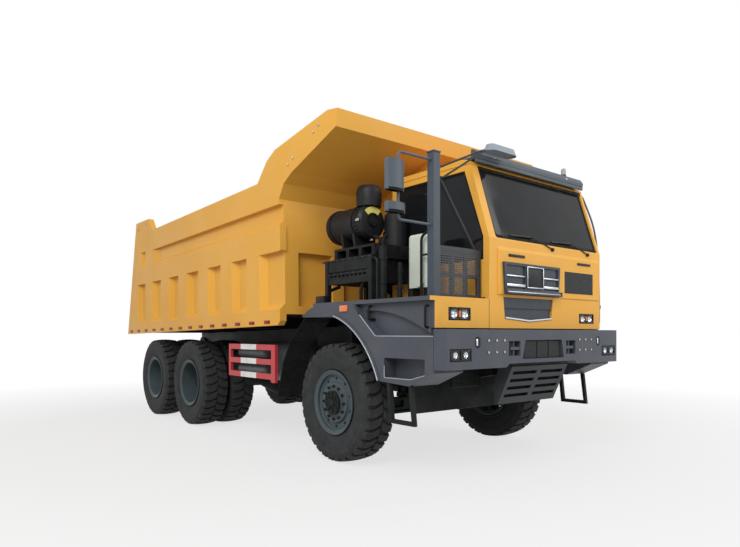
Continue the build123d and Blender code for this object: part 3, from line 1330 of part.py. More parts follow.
# lower grille recess: right and left Y at its head, at its foot, then head and foot
LOW_GRILLE = (-520.0, 460.0, -490.0, 430.0, CAB_Z0 + 10, CAB_Z0 - 240)
LOW_GRILLE_DEEP = 40.0
CAB_LAMP = (1050.0, 1405.0)
cab_lamp_z0 = PANEL_Z0 + 70
with BuildPart() as cab_front:
    block(CAB_SKIN_X, PANEL_X, CAB_RIGHT, CAB_LEFT, PANEL_Z0, FRONT_TOP_Z)
    # Hatch that stands proud, with a bevelled head
    hatch_y0, hatch_y1, hatch_z0, hatch_z1 = HATCH
    bevel = (
        (PANEL_X, hatch_z0),
        (PANEL_X + HATCH_T, hatch_z0),
        (PANEL_X + HATCH_T, hatch_z1 - 40),
        (PANEL_X, hatch_z1),
    )
    side_slab(bevel, hatch_y0, hatch_y1)
    # Lower grille recess and headlamp seat
    head0, head1, foot0, foot1, head_z, foot_z = LOW_GRILLE
    recess = ((head0, head_z), (head1, head_z), (foot1, foot_z), ((foot0 + foot1) / 2, foot_z - 35), (foot0, foot_z))
    front_slab(recess, PANEL_X - LOW_GRILLE_DEEP, PANEL_X + HATCH_T, Mode.SUBTRACT)
    block(PANEL_X - LAMP_SEAT_DEEP, PANEL_X, *CAB_LAMP, cab_lamp_z0, cab_lamp_z0 + 130, mode=Mode.SUBTRACT)
save(cab_front, "cab_front")

BADGE_Y, BADGE_HALF = 25.0, 165.0
with BuildPart() as grille:
    face_x = PANEL_X + HATCH_T
    # Upper grille: a tapered frame with two hollow halves, bars and a blank centre shield
    upper = (
        (GRILLE_Y0, GRILLE_Z1),
        (GRILLE_Y0 + 30, GRILLE_Z0),
        (GRILLE_Y1 - 30, GRILLE_Z0),
        (GRILLE_Y1, GRILLE_Z1),
    )
    front_slab(upper, face_x, face_x + 28)
    for y0, y1 in ((GRILLE_Y0 + 45, BADGE_Y - BADGE_HALF - 20), (BADGE_Y + BADGE_HALF + 20, GRILLE_Y1 - 45)):
        block(face_x + 8, face_x + 28, y0, y1, GRILLE_Z0 + 70, GRILLE_Z1 - 30, mode=Mode.SUBTRACT)
        for z, thick, proud in ((GRILLE_Z0 + 90, 36, 30), (GRILLE_Z0 + 215, 14, 26)):
            block(face_x + 6, face_x + proud, y0, y1, z, z + thick)
    # Sloping lip along the foot
    lip = (
        (face_x, GRILLE_Z0),
        (face_x + 58, GRILLE_Z0 + 8),
        (face_x + 58, GRILLE_Z0 + 30),
        (face_x + 28, GRILLE_Z0 + 72),
        (face_x, GRILLE_Z0 + 72),
    )
    side_slab(lip, GRILLE_Y0 + 28, GRILLE_Y1 - 28)
    with BuildSketch(front_plane(face_x + 20)) as shield:
        with Locations((BADGE_Y, GRILLE_Z0 + 215)):
            RectangleRounded(2 * BADGE_HALF, 2 * BADGE_HALF - 70, 30)
    extrude(shield.sketch, amount=22)
    with BuildSketch(front_plane(face_x + 34)) as shield_inner:
        with Locations((BADGE_Y, GRILLE_Z0 + 215)):
            RectangleRounded(2 * BADGE_HALF - 40, 2 * BADGE_HALF - 110, 18)
    extrude(shield_inner.sketch, amount=10, mode=Mode.SUBTRACT)
    # Lower grille: two sunk panels over a chevron trim
    head0, head1, foot0, foot1, head_z, foot_z = LOW_GRILLE
    back_x = PANEL_X - LOW_GRILLE_DEEP
    split_z = (head_z + foot_z) / 2
    split0, split1 = (head0 + foot0) / 2 + 6, (head1 + foot1) / 2 - 6
    upper = ((head0 + 8, head_z), (head1 - 8, head_z), (split1, split_z), (split0, split_z))
    lower = ((split0, split_z), (split1, split_z), (foot1 - 4, foot_z), (foot0 + 4, foot_z))
    front_slab(upper, back_x, back_x + 26)
    front_slab(lower, back_x, back_x + 12)
    middle = (foot0 + foot1) / 2
    chevron = (
        (foot0 + 3, foot_z + 22),
        (middle, foot_z - 10),
        (foot1 - 3, foot_z + 22),
        (foot1 - 3, foot_z),
        (middle, foot_z - 34),
        (foot0 + 3, foot_z),
    )
    front_slab(chevron, back_x, PANEL_X + 6)
    # Three upright panels in the bumper's centre opening
    low_half, high_half, foot, head = CENTRE_OPENING
    for k in (-1, 0, 1):
        y = k * 2 * high_half / 3
        wide = high_half / 3 - 12
        block(
            NOSE_X - LAMP_DEEP,
            NOSE_X - 26,
            y - wide,
            y + wide,
            BUMPER_Z0 + foot + 14,
            BUMPER_Z0 + head - 14,
        )
save(grille, "grille")

with BuildPart() as cab_glass:
    screen_slab(GLASS_T, 24)
    side_slab(side_window_outline, CAB_RIGHT + 24, CAB_RIGHT + 24 + GLASS_T)
    block(CAB_BACK_X + 24, CAB_BACK_X + 24 + GLASS_T, *REAR_WINDOW)
save(cab_glass, "cab_glass")

VISOR_Y0, VISOR_Y1 = CAB_RIGHT + 40, CAB_LEFT - 55
BEACON_Y = 1130.0
with BuildPart() as sun_visor:
    side_slab(
        (
            (SCREEN_TOP_X - 170, CAB_TOP_Z),
            (SCREEN_TOP_X - 115, CAB_TOP_Z),
            (SCREEN_TOP_X + 20, CAB_TOP_Z + 4),
            (SCREEN_TOP_X + 62, CAB_TOP_Z + 2),
            (SCREEN_TOP_X + 66, CAB_TOP_Z + 42),
            (SCREEN_TOP_X + 30, CAB_TOP_Z + 98),
            (SCREEN_TOP_X - 10, CAB_TOP_Z + 110),
            (SCREEN_TOP_X - 22, CAB_TOP_Z + 100),
            (SCREEN_TOP_X - 22, CAB_TOP_Z + 24),
            (SCREEN_TOP_X - 170, CAB_TOP_Z + 24),
        ),
        VISOR_Y0,
        VISOR_Y1,
    )
    # Small domed lamp on the visor's top edge
    dome_x, dome_z = SCREEN_TOP_X, CAB_TOP_Z + 105
    rod((dome_x, BEACON_Y, dome_z), (dome_x, BEACON_Y, dome_z + 70), 34)
    with Locations((dome_x, BEACON_Y, dome_z + 70)):
        Sphere(34)
save(sun_visor, "sun_visor")

LAMP_BEZEL = 5.0
with BuildPart() as headlamps:
    # lamp housing: back X, face X, near Y, far Y, foot, head
    bumper_near, bumper_far, bumper_foot, bumper_head = BUMPER_LAMP
    housings = [
        (PANEL_X - LAMP_SEAT_DEEP, PANEL_X + 8, *DECK_LAMP, lamp_z0, lamp_z0 + 140),
        (PANEL_X - LAMP_SEAT_DEEP, PANEL_X + 8, *CAB_LAMP, cab_lamp_z0, cab_lamp_z0 + 130),
    ]
    for y0, y1 in ((bumper_near, bumper_far), (-bumper_far, -bumper_near)):
        housings.append(
            (NOSE_X - LAMP_DEEP, NOSE_X - 4, y0, y1, BUMPER_Z0 + bumper_foot, BUMPER_Z0 + bumper_head)
        )
    for back, face, y0, y1, z0, z1 in housings:
        block(back, face, y0 + LAMP_BEZEL, y1 - LAMP_BEZEL, z0 + LAMP_BEZEL, z1 - LAMP_BEZEL)
        # Two lens seats in each housing
        lens_w = (y1 - y0 - 2 * LAMP_BEZEL) / 2
        with BuildSketch(front_plane(face)) as seats:
            for k in (0, 1):
                with Locations((y0 + LAMP_BEZEL + lens_w * (k + 0.5), (z0 + z1) / 2)):
                    RectangleRounded(lens_w - 22, z1 - z0 - 34, 26)
        extrude(seats.sketch, amount=-22, mode=Mode.SUBTRACT)
    for side in (1, -1):
        with BuildSketch(front_plane(NOSE_X - LAMP_DEEP)) as oval:
            with Locations((side * OVAL_LAMP[0], BUMPER_Z0 + OVAL_LAMP[1])):
                SlotOverall(OVAL_LAMP[2] - 6, OVAL_LAMP[3] - 6, rotation=90)
        extrude(oval.sketch, amount=LAMP_DEEP - 6)
save(headlamps, "headlamps")

SEAT_X = X1 + 620.0
SEAT_Y = 700.0
CAB_FLOOR_Z = CAB_Z0 + CAB_WALL
with BuildPart() as driver_seat:
    block(SEAT_X - 170, SEAT_X + 170, SEAT_Y - 160, SEAT_Y + 160, CAB_FLOOR_Z, CAB_FLOOR_Z + 330)
    block(SEAT_X - 250, SEAT_X + 260, SEAT_Y - 260, SEAT_Y + 260, CAB_FLOOR_Z + 330, CAB_FLOOR_Z + 450)
    side_slab(
        (
            (SEAT_X - 250, CAB_FLOOR_Z + 450),
            (SEAT_X - 130, CAB_FLOOR_Z + 450),
            (SEAT_X - 270, CAB_FLOOR_Z + 1130),
            (SEAT_X - 370, CAB_FLOOR_Z + 1110),
        ),
        SEAT_Y - 240,
        SEAT_Y + 240,
    )
save(driver_seat, "driver_seat")

with BuildPart() as dashboard:
    dash_x = CAB_SKIN_X - CAB_WALL
    side_slab(
        (
            (dash_x, CAB_FLOOR_Z),
            (dash_x, SCREEN_Z0 - 50),
            (dash_x - 250, SCREEN_Z0 - 10),
            (dash_x - 380, SCREEN_Z0 - 130),
            (dash_x - 240, CAB_FLOOR_Z),
        ),
        CAB_RIGHT + CAB_WALL,
        CAB_LEFT - CAB_WALL,
    )
    wheel_x, wheel_z = dash_x - 420, SCREEN_Z0 + 70
    rod((dash_x - 250, SEAT_Y, SCREEN_Z0 - 190), (wheel_x, SEAT_Y, wheel_z), 30)
    with Locations(Location((wheel_x, SEAT_Y, wheel_z), (0, -33, 0))):
        Torus(230, 17)
        Box(440, 30, 16)
        Box(30, 440, 16)
save(dashboard, "dashboard")

# Driver's door on its front hinge
with BuildPart() as cab_door:
    side_slab(door_outline, CAB_LEFT - DOOR_T, CAB_LEFT)
    side_slab(window_outline, CAB_LEFT - DOOR_T - 5, CAB_LEFT + 5, Mode.SUBTRACT)
    # Pressed panel and pull handle
    panel = rectangle(DOOR_X0 + 90, DOOR_X1 - 80, DOOR_Z0 + 80, SILL_Z - 40)
    side_slab(panel, CAB_LEFT - 10, CAB_LEFT + 5, Mode.SUBTRACT)
    block(DOOR_X0 + 60, DOOR_X0 + 230, CAB_LEFT - 12, CAB_LEFT + 14, SILL_Z + 20, SILL_Z + 55)
    for z in DOOR_HINGE_Z:
        z0, z1 = z - HINGE_H / 2, z + HINGE_H / 2
        block(DOOR_X1 - 80, DOOR_X1, CAB_LEFT, CAB_LEFT + 12, z0, z1)
        block(DOOR_X1, DOOR_HINGE_X, CAB_LEFT + 4, CAB_LEFT + 12, z0, z1)
        with Locations((DOOR_HINGE_X, DOOR_HINGE_Y, z)):
            Cylinder(HINGE_KNUCKLE_R, HINGE_H)
            Cylinder(HINGE_PIN + SPIN_GAP, HINGE_H + 4, mode=Mode.SUBTRACT)
save(cab_door, "cab_door")

DOOR_MIRROR_X = X1 + 1150.0
# mirror housing on the door: near Y, far Y, foot and head above the cab's foot
DOOR_MIRRORS = ((1965.0, MIRROR_OUT, 880.0, 1220.0), (1965.0, MIRROR_OUT, 660.0, 792.0))
with BuildPart() as door_mirror:
    stalk_x = DOOR_MIRROR_X + MIRROR_T / 2
    for near, far, foot, head in DOOR_MIRRORS:
        block(DOOR_MIRROR_X, DOOR_MIRROR_X + MIRROR_T, near, far, CAB_Z0 + foot, CAB_Z0 + head)
    fillet(door_mirror.edges().filter_by(Axis.X), 18)
    arm_low, arm_high = CAB_Z0 + 480, CAB_Z0 + 1310
    bent_tube(
        (
            (stalk_x, CAB_LEFT, arm_high),
            (stalk_x, STALK_Y, arm_high),
            (stalk_x, STALK_Y, arm_low),
            (stalk_x, CAB_LEFT, arm_low),
        ),
        45,
        ARM_R,
    )
save(door_mirror, "door_mirror")

with BuildPart() as door_glass:
    side_slab(window_outline, CAB_LEFT - 32, CAB_LEFT - 32 + GLASS_T)
save(door_glass, "door_glass")

# ---------------------------------------------------------------- tanks and side guards

TANK_R = 300.0
TANK_Y = 1200.0
DISH = 60.0
STRAP_T = 6.0
STRAP_REACH = TANK_Y + TANK_R + STRAP_T


def vessel(x0, x1, y, z, radius, dish):
    """Lying tank with dished ends."""
    flat, knee = radius * 0.3, radius * 0.75
    with BuildSketch(Plane(origin=(0, y, z), x_dir=(1, 0, 0), z_dir=(0, -1, 0))) as half_section:
        with BuildLine():
            Polyline((x0, flat), (x0, 0), (x1, 0), (x1, flat))
            ThreePointArc((x1, flat), (x1 - dish * 0.3, knee), (x1 - dish, radius))
            Line((x1 - dish, radius), (x0 + dish, radius))
            ThreePointArc((x0 + dish, radius), (x0 + dish * 0.3, knee), (x0, flat))
        make_face()
    revolve(half_section.sketch, axis=Axis((0, y, z), (1, 0, 0)))


with BuildPart() as side_tanks:
    tank_z = RAIL_Z0 + 180
    for side in (1, -1):
        vessel(X1 - 2680, X1 - 1480, side * TANK_Y, tank_z, TANK_R, DISH)
        # Two small air vessels below the guard, in line with it
        for y, z in ((1580, RAIL_Z0 + 60), (1580, RAIL_Z0 + 330)):
            vessel(X1 - 2600, X1 - 1720, side * y, z, 95, 40)
        for x in (X1 - 2450, X1 - 1700):
            # Strap and bracket to the rail
            rod((x - 30, side * TANK_Y, tank_z), (x + 30, side * TANK_Y, tank_z), TANK_R + STRAP_T)
            block(x - 40, x + 40, side * RAIL_OUT, side * 960, RAIL_Z0 + 10, RAIL_Z0 + 330)
            block(x - 20, x + 20, side * (TANK_Y + 180), side * 1500, RAIL_Z0 + 30, RAIL_Z0 + 360)
save(side_tanks, "side_tanks")

GUARD_X0, GUARD_X1 = X1 - 2730.0, X1 - 1290.0
GUARD_Z0, GUARD_Z1 = RAIL_Z0 - 50, RAIL_Z0 + 450
GUARD_Y0, GUARD_Y1 = BODY_HALF + 5, BODY_HALF + 50
with BuildPart() as side_guards:
    for side in (1, -1):
        frame_outline = (
            (GUARD_X0, GUARD_Z0),
            (GUARD_X1 - 130, GUARD_Z0),
            (GUARD_X1 - 100, GUARD_Z0 - 40),
            (GUARD_X1, GUARD_Z0 - 40),
            (GUARD_X1, GUARD_Z1),
            (GUARD_X0, GUARD_Z1),
        )
        side_slab(frame_outline, side * GUARD_Y0, side * GUARD_Y1)
        for foot in (80, 290):
            gap = rectangle(GUARD_X0 + 60, GUARD_X1 - 110, GUARD_Z0 + foot, GUARD_Z0 + foot + 130)
            side_slab(gap, side * GUARD_Y0, side * GUARD_Y1, Mode.SUBTRACT)
        # Stays in to the tank straps
        for x in (X1 - 2450, X1 - 1700):
            block(x - 20, x + 20, side * (STRAP_REACH + 0.2), side * GUARD_Y0, RAIL_Z0 + 175, RAIL_Z0 + 225)
save(side_guards, "side_guards")

# ---------------------------------------------------------------- bed

TAIL_SLOPE = (TAIL_TOP_X - TAIL_LOW_X) / (EAR_Z1 - BED_BOTTOM)
EAR_FRONT_X = 600.0
EAR_FOOT_X = 800.0
GATE_T = 90.0
GATE_SET_IN = 20.0
GATE_SIDE_GAP = 10.0
GATE_PIVOT = (-30.0, EAR_Z1 - 115.0)
GATE_PIN_R = 36.0
GATE_BOSS_R = 80.0
BOSS_PROUD = 6.0
INNER_HALF = BED_HALF - BED_WALL
PLANK_MARGIN = 40.0  # how far a pocket's mouth reaches below its floor line
POCKET_LEAN = 110.0  # slope of a pocket's rear flank
POCKET_TURN = 40.0  # slope of its front flank
STRIP_X0 = 811.0
STRIP_LEAN = 250.0
STRIP_SLOPE = 60.0
SLOT = (130.0, 400.0, 1545.0, 1845.0)  # recess in the rear part of the belt: X, X, foot, head


def tail_x(z, inset=0.0):
    """Where the sloping tail edge stands at height z, moved forward by inset."""
    return TAIL_LOW_X + (z - BED_BOTTOM) * TAIL_SLOPE + inset


POCKET_PITCH = (BED_FRONT - OPEN_POCKET_W - FIRST_POCKET_X) / (POCKETS - 1)
pocket_starts = [FIRST_POCKET_X + k * POCKET_PITCH for k in range(POCKETS)]

wall_outline = (
    (tail_x(BED_BOTTOM), BED_BOTTOM),
    (BED_FRONT - 60, BED_BOTTOM),
    (BED_FRONT, BED_BOTTOM + 60),
    (BED_FRONT, TOP_RAIL_Z1),
    (EAR_FOOT_X, TOP_RAIL_Z1),
    (EAR_FRONT_X, EAR_Z1 - 20),
    (TAIL_TOP_X, EAR_Z1),
)
slot_x0, slot_x1, slot_z0, slot_z1 = SLOT

with BuildPart() as bed_sides:
    pivot_x, pivot_z = bed_point(*GATE_PIVOT)
    for side in (1, -1):
        outer = side * BED_HALF
        floor_y = side * (BED_HALF - POCKET_DEEP)
        strip_y = side * (BED_HALF - STRIP_DEEP)
        bed_slab(wall_outline, side * INNER_HALF, outer)
        # Raked pockets between the ribs below the belt, the last one open to the front
        for k, start in enumerate(pocket_starts):
            if k < POCKETS - 1:
                mouth_end, floor_end = start + POCKET_W, start + POCKET_W - POCKET_TURN
            else:
                mouth_end = floor_end = BED_FRONT + 10
            mouth = rectangle(start, mouth_end, FLOOR_Z1 - PLANK_MARGIN, BELT_Z0)
            floor = rectangle(start + POCKET_LEAN, floor_end, FLOOR_Z1 + PLANK_MARGIN, BELT_Z0)
            tapered_cut(bed_plane(outer), mouth, bed_plane(floor_y), floor)
        # Sunk strip between belt and top rail, bevelled at its rear end and along its foot
        mouth = rectangle(STRIP_X0, BED_FRONT + 10, BELT_Z1, TOP_RAIL_Z0)
        floor = rectangle(STRIP_X0 + STRIP_LEAN, BED_FRONT + 10, BELT_Z1 + STRIP_SLOPE, TOP_RAIL_Z0)
        tapered_cut(bed_plane(outer), mouth, bed_plane(strip_y), floor)
        # Recess in the rear corner of the belt
        mouth = rectangle(slot_x0, slot_x1, slot_z0, slot_z1)
        floor = rectangle(slot_x0 + 90, slot_x1 - 15, slot_z0 + 15, slot_z1 - 15)
        tapered_cut(bed_plane(outer), mouth, bed_plane(strip_y), floor)
        # Flange that closes the belt's front end
        bed_slab(rectangle(BED_FRONT, BED_FRONT + 20, BELT_Z0 + 5, BELT_Z1 - 5), side * INNER_HALF, outer)
        # Boss round the gate's pin
        cross_pin(pivot_x, pivot_z, GATE_BOSS_R, side * INNER_HALF, side * (BED_HALF + BOSS_PROUD))
    # Bores for the gate's pins, and a lifting hole through each ear
    bore_half = BED_HALF + BOSS_PROUD + 10
    cross_pin(pivot_x, pivot_z, GATE_PIN_R + SPIN_GAP, -bore_half, bore_half, Mode.SUBTRACT)
    hole_x, hole_z = bed_point(EAR_FRONT_X - 160, EAR_Z1 - 110)
    cross_pin(hole_x, hole_z, 28, -bore_half, bore_half, Mode.SUBTRACT)
save(bed_sides, "bed_sides")

SILL_BACK_X = 160.0
SILL_BOTTOM_Z = RAIL_Z1 - HINGE_Z + 8
SILL_EYE_R = 100.0
BEAM_BACK = 190.0  # crossbeam behind the start of each pocket
BEAM_HALF = 60.0
gate_inset = (GATE_SET_IN + GATE_T + 8) * hypot(1, TAIL_SLOPE)
FRONT_WALL_T = 100.0
COLUMN_W = 200.0
# Niche in the foot of the front wall, which the leaning hoist swings into
NICHE_HALF = 190.0
NICHE_T = 22.0
NICHE_TOP_Z = BELT_Z1 - 170
NICHE_BACK = (BED_FRONT - 420, BED_FRONT - 95)
niche_outline = (
    (NICHE_BACK[0], BED_BOTTOM),
    (BED_FRONT, BED_BOTTOM),
    (BED_FRONT, NICHE_TOP_Z),
    (NICHE_BACK[1], NICHE_TOP_Z),
)
niche_inside = (
    (NICHE_BACK[0] + NICHE_T, BED_BOTTOM - 10),
    (BED_FRONT + 10, BED_BOTTOM - 10),
    (BED_FRONT + 10, NICHE_TOP_Z - NICHE_T),
    (NICHE_BACK[1] + NICHE_T, NICHE_TOP_Z - NICHE_T),
)
with BuildPart() as bed_floor:
    bed_slab(
        (
            (tail_x(FLOOR_Z0, gate_inset), FLOOR_Z0),
            (BED_FRONT, FLOOR_Z0),
            (BED_FRONT, FLOOR_Z1),
            (tail_x(FLOOR_Z1, gate_inset), FLOOR_Z1),
        ),
        -INNER_HALF,
        INNER_HALF,
    )
    # Crossbeams under the floor, in line with the ribs
    for start in pocket_starts[1:]:
        beam_x = start - BEAM_BACK
        beam = rectangle(beam_x - BEAM_HALF, beam_x + BEAM_HALF, BED_BOTTOM, FLOOR_Z0)
        bed_slab(beam, -INNER_HALF, INNER_HALF)
    # Sills that lie on the rails and end in the hinge eyes
    sill_front = BED_FRONT - 250
    sill = (
        (SILL_BACK_X, SILL_BOTTOM_Z),
        (sill_front, SILL_BOTTOM_Z - (sill_front - SILL_BACK_X) * tan(RAKE)),
        (sill_front, FLOOR_Z0),
        (-SILL_EYE_R, FLOOR_Z0),
        (-SILL_EYE_R, 0),
        (0, SILL_BOTTOM_Z + 10),
    )
    for side in (1, -1):
        y0, y1 = side * (RAIL_IN + HINGE_SIDE_GAP), side * (RAIL_OUT - HINGE_SIDE_GAP)
        bed_slab(sill, y0, y1)
        cross_pin(HINGE_X, HINGE_Z, SILL_EYE_R, y0, y1)
        cross_pin(HINGE_X, HINGE_Z, HINGE_PIN_R + SPIN_GAP, y0 - side * 5, y1 + side * 5, Mode.SUBTRACT)
    bed_slab(niche_outline, -NICHE_HALF, NICHE_HALF, Mode.SUBTRACT)
save(bed_floor, "bed_floor")

WALL_TOP_Z = TOP_RAIL_Z0
with BuildPart() as bed_front_wall:
    wall = rectangle(BED_FRONT - FRONT_WALL_T, BED_FRONT, FLOOR_Z1, WALL_TOP_Z)
    bed_slab(wall, -INNER_HALF, INNER_HALF)
    bed_slab(niche_outline, -NICHE_HALF, NICHE_HALF)
    inside_half = NICHE_HALF - NICHE_T
    bed_slab(niche_inside, -inside_half, inside_half, Mode.SUBTRACT)
    # Panels between the columns below the belt
    panel_w = (INNER_HALF - NICHE_HALF - 60 - 2 * COLUMN_W) / 2
    panel = rectangle(BED_FRONT - POCKET_DEEP, BED_FRONT + 10, FLOOR_Z1 + 10, BELT_Z0)
    for side in (1, -1):
        for k in range(2):
            y = NICHE_HALF + 60 + k * (panel_w + COLUMN_W)
            bed_slab(panel, side * y, side * (y + panel_w), Mode.SUBTRACT)
save(bed_front_wall, "bed_front_wall")


def canopy(*points):
    """Outline points given ahead of the front wall and above the top rail's foot."""
    return tuple((BED_FRONT + x, TOP_RAIL_Z0 + z) for x, z in points)


canopy_low = canopy((0, 66), (128, 250), (332, 356), (1318, 674))
canopy_high = canopy((1356, 879), (1146, 918), (-104, 755), (-324, 651), (-591, TOP_RAIL_H))
PLATE_T = 60.0
CHEEK_T = 30.0
LIP_R = 80.0
with BuildPart() as bed_canopy:
    # Side cheeks
    for side in (1, -1):
        cheek = ((BED_FRONT, TOP_RAIL_Z1), *canopy_low, *canopy_high)
        bed_slab(cheek, side * INNER_HALF, side * BED_HALF)
    # Roof plate with its front lip, and the foot that stands on the front wall
    bed_slab(
        (
            (BED_FRONT - FRONT_WALL_T, WALL_TOP_Z),
            (BED_FRONT, WALL_TOP_Z),
            *canopy_low,
            canopy_high[0],
            *canopy((1286, 879), (1256, 674 + PLATE_T), (332, 356 + PLATE_T), (100, 250 + PLATE_T)),
            *canopy((-60, 122), (-FRONT_WALL_T, 78)),
        ),
        -INNER_HALF,
        INNER_HALF,
    )
    # Hoist cheeks under the canopy, in front of the wall, each with a lightening hole
    pin_x, pin_z = HOIST_TOP
    hoist_cheek = (
        (BED_FRONT, BELT_Z1 - 150),
        (pin_x + 60, pin_z - 90),
        (pin_x + 150, pin_z + 20),
        (pin_x + 250, TOP_RAIL_Z0 + 412),
        canopy_low[2],
        canopy_low[1],
        canopy_low[0],
    )
    cheek_y = HOIST_TOP_HALF + HOIST_SIDE_GAP
    hole_x, hole_z = bed_point(BED_FRONT + 120, BELT_Z1 + 130)
    for side in (1, -1):
        near, far = side * cheek_y, side * (cheek_y + CHEEK_T)
        bed_slab(hoist_cheek, near, far)
        cross_pin(hole_x, hole_z, 55, near - side * 5, far + side * 5, Mode.SUBTRACT)
        # Gusset beams that carry the underside out to the lip
        beam = canopy((pin_x - BED_FRONT + 180, 400), (1240, 652), (1240, 600), (pin_x - BED_FRONT + 180, 290))
        bed_slab(beam, near, far)
save(bed_canopy, "bed_canopy")

# ---------------------------------------------------------------- tailgate

GATE_HALF = INNER_HALF - GATE_SIDE_GAP
GATE_Z0, GATE_Z1 = BED_BOTTOM + 30, TOP_RAIL_Z1 - 22
GATE_ARM_Z = BELT_Z1 - 20
GATE_ARM_T = 80.0
GATE_PANEL_DEEP = 60.0
GATE_COLUMNS, GATE_ROWS = 5, 2
GATE_RIB = 110.0
GATE_PIN_OUT = 14.0
set_in = GATE_SET_IN * hypot(1, TAIL_SLOPE)
set_out = (GATE_SET_IN + GATE_T) * hypot(1, TAIL_SLOPE)
panel_deep = (GATE_SET_IN + GATE_PANEL_DEEP) * hypot(1, TAIL_SLOPE)


def gate_slab(z0, z1, near, far, y0, y1, mode=Mode.ADD):
    """Slab along the sloping gate, near and far measured forward from the tail edge."""
    corners = ((near, z0), (far, z0), (far, z1), (near, z1))
    bed_slab([(tail_x(z, inset), z) for inset, z in corners], y0, y1, mode)


with BuildPart() as tailgate:
    gate_slab(GATE_Z0, GATE_Z1, set_in, set_out, -GATE_HALF, GATE_HALF)
    # Outer panels between the ribs
    panel_w = (2 * GATE_HALF - GATE_RIB * (GATE_COLUMNS + 1)) / GATE_COLUMNS
    panel_h = (GATE_Z1 - GATE_Z0 - GATE_RIB * (GATE_ROWS + 1)) / GATE_ROWS
    for column in range(GATE_COLUMNS):
        y = -GATE_HALF + GATE_RIB + column * (panel_w + GATE_RIB)
        for row in range(GATE_ROWS):
            z = GATE_Z0 + GATE_RIB + row * (panel_h + GATE_RIB)
            gate_slab(z, z + panel_h, -GATE_SET_IN, panel_deep, y, y + panel_w, Mode.SUBTRACT)
    for side in (1, -1):
        arm_y = side * (GATE_HALF - GATE_ARM_T)
        pivot_u, pivot_v = GATE_PIVOT
        bed_slab(
            (
                (tail_x(GATE_ARM_Z, set_in), GATE_ARM_Z),
                (tail_x(GATE_ARM_Z, set_out), GATE_ARM_Z),
                (pivot_u + 70, pivot_v - 30),
                (pivot_u + 60, pivot_v + 40),
                (pivot_u - 60, pivot_v + 50),
                (tail_x(GATE_Z1, set_in), GATE_Z1),
            ),
            arm_y,
            side * GATE_HALF,
        )
        cross_pin(pivot_x, pivot_z, GATE_PIN_R, arm_y, side * (BED_HALF + GATE_PIN_OUT))
save(tailgate, "tailgate")

# ---------------------------------------------------------------- hoist

top_x, top_z = bed_point(*HOIST_TOP)
hoist_foot = Vector(HOIST_X, 0, HOIST_Z)
hoist_run = Vector(top_x, 0, top_z) - hoist_foot
hoist_axis = hoist_run.normalized()
BARREL_START = 160.0
BARREL_FLOOR = 90.0
STAGE_STEP = 45.0  # how far each stage shows above the one below when closed
STAGE_FOOT_STEP = 15.0
RUN_GAP = 0.6
NECK_R = 60.0
ROD_NECK_R = 50.0
COLLAR_PROUD = 9.0
COLLAR_H = 22.0
BARREL_LEN = hoist_run.length - HOIST_EYE_R - BARREL_START - STAGE_STEP * (len(STAGE_R) - 1)
BARREL_END = BARREL_START + BARREL_LEN


def along(distance):
    """Point on the hoist's axis, distance up from its foot pin."""
    return tuple(hoist_foot + hoist_axis * distance)


with BuildPart() as hoist_barrel:
    rod(along(0), along(BARREL_START + 5), NECK_R)
    rod(along(BARREL_START), along(BARREL_END), STAGE_R[0])
    rod(along(BARREL_END - 2 * COLLAR_H), along(BARREL_END), STAGE_R[0] + COLLAR_PROUD)
    rod(along(BARREL_START), along(BARREL_START + COLLAR_H), STAGE_R[0] + COLLAR_PROUD)
    cross_pin(HOIST_X, HOIST_Z, HOIST_EYE_R, -HOIST_EYE_HALF, HOIST_EYE_HALF)
    bore_half = HOIST_EYE_HALF + 5
    cross_pin(HOIST_X, HOIST_Z, HOIST_PIN_R + SPIN_GAP, -bore_half, bore_half, Mode.SUBTRACT)
    rod(along(BARREL_START + BARREL_FLOOR), along(BARREL_END + 5), STAGE_R[1] + RUN_GAP, Mode.SUBTRACT)
save(hoist_barrel, "hoist_barrel")

for stage in (1, 2, 3):
    start = BARREL_START + BARREL_FLOOR + stage * STAGE_FOOT_STEP
    end = BARREL_END + stage * STAGE_STEP
    with BuildPart() as hoist_stage:
        rod(along(start), along(end), STAGE_R[stage])
        if stage < 3:
            rod(along(end - COLLAR_H), along(end), STAGE_R[stage] + COLLAR_PROUD)
            bore_start = start + STAGE_FOOT_STEP
            rod(along(bore_start), along(end + 5), STAGE_R[stage + 1] + RUN_GAP, Mode.SUBTRACT)
        else:
            rod(along(end - 5), along(hoist_run.length), ROD_NECK_R)
            cross_pin(top_x, top_z, HOIST_EYE_R, -HOIST_TOP_HALF, HOIST_TOP_HALF)
    save(hoist_stage, f"hoist_stage_{stage}")
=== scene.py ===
"""Finishes and small pieces for a six-wheel mining dump truck, laid out as a Blender add-on."""

import json
from math import atan2, cos, pi, radians, sin

import bmesh
import bpy
from bpy.props import FloatProperty, FloatVectorProperty, IntProperty, PointerProperty
from mathutils import Matrix, Vector


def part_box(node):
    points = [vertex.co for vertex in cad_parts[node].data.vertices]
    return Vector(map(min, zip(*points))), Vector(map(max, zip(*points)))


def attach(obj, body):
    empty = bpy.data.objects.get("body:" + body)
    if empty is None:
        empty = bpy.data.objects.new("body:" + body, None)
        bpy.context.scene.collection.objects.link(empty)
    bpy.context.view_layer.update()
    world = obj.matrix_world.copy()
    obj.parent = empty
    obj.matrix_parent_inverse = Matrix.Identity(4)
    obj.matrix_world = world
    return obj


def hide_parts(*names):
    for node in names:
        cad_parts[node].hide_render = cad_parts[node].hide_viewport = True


bl_info = {
    "name": "Mining dump truck",
    "version": (1, 1, 0),
    "blender": (4, 5, 0),
    "location": "View3D > Sidebar > Dump truck",
    "description": "Paint, tyres, lamps and fittings of a mining dump truck",
    "category": "Object",
}

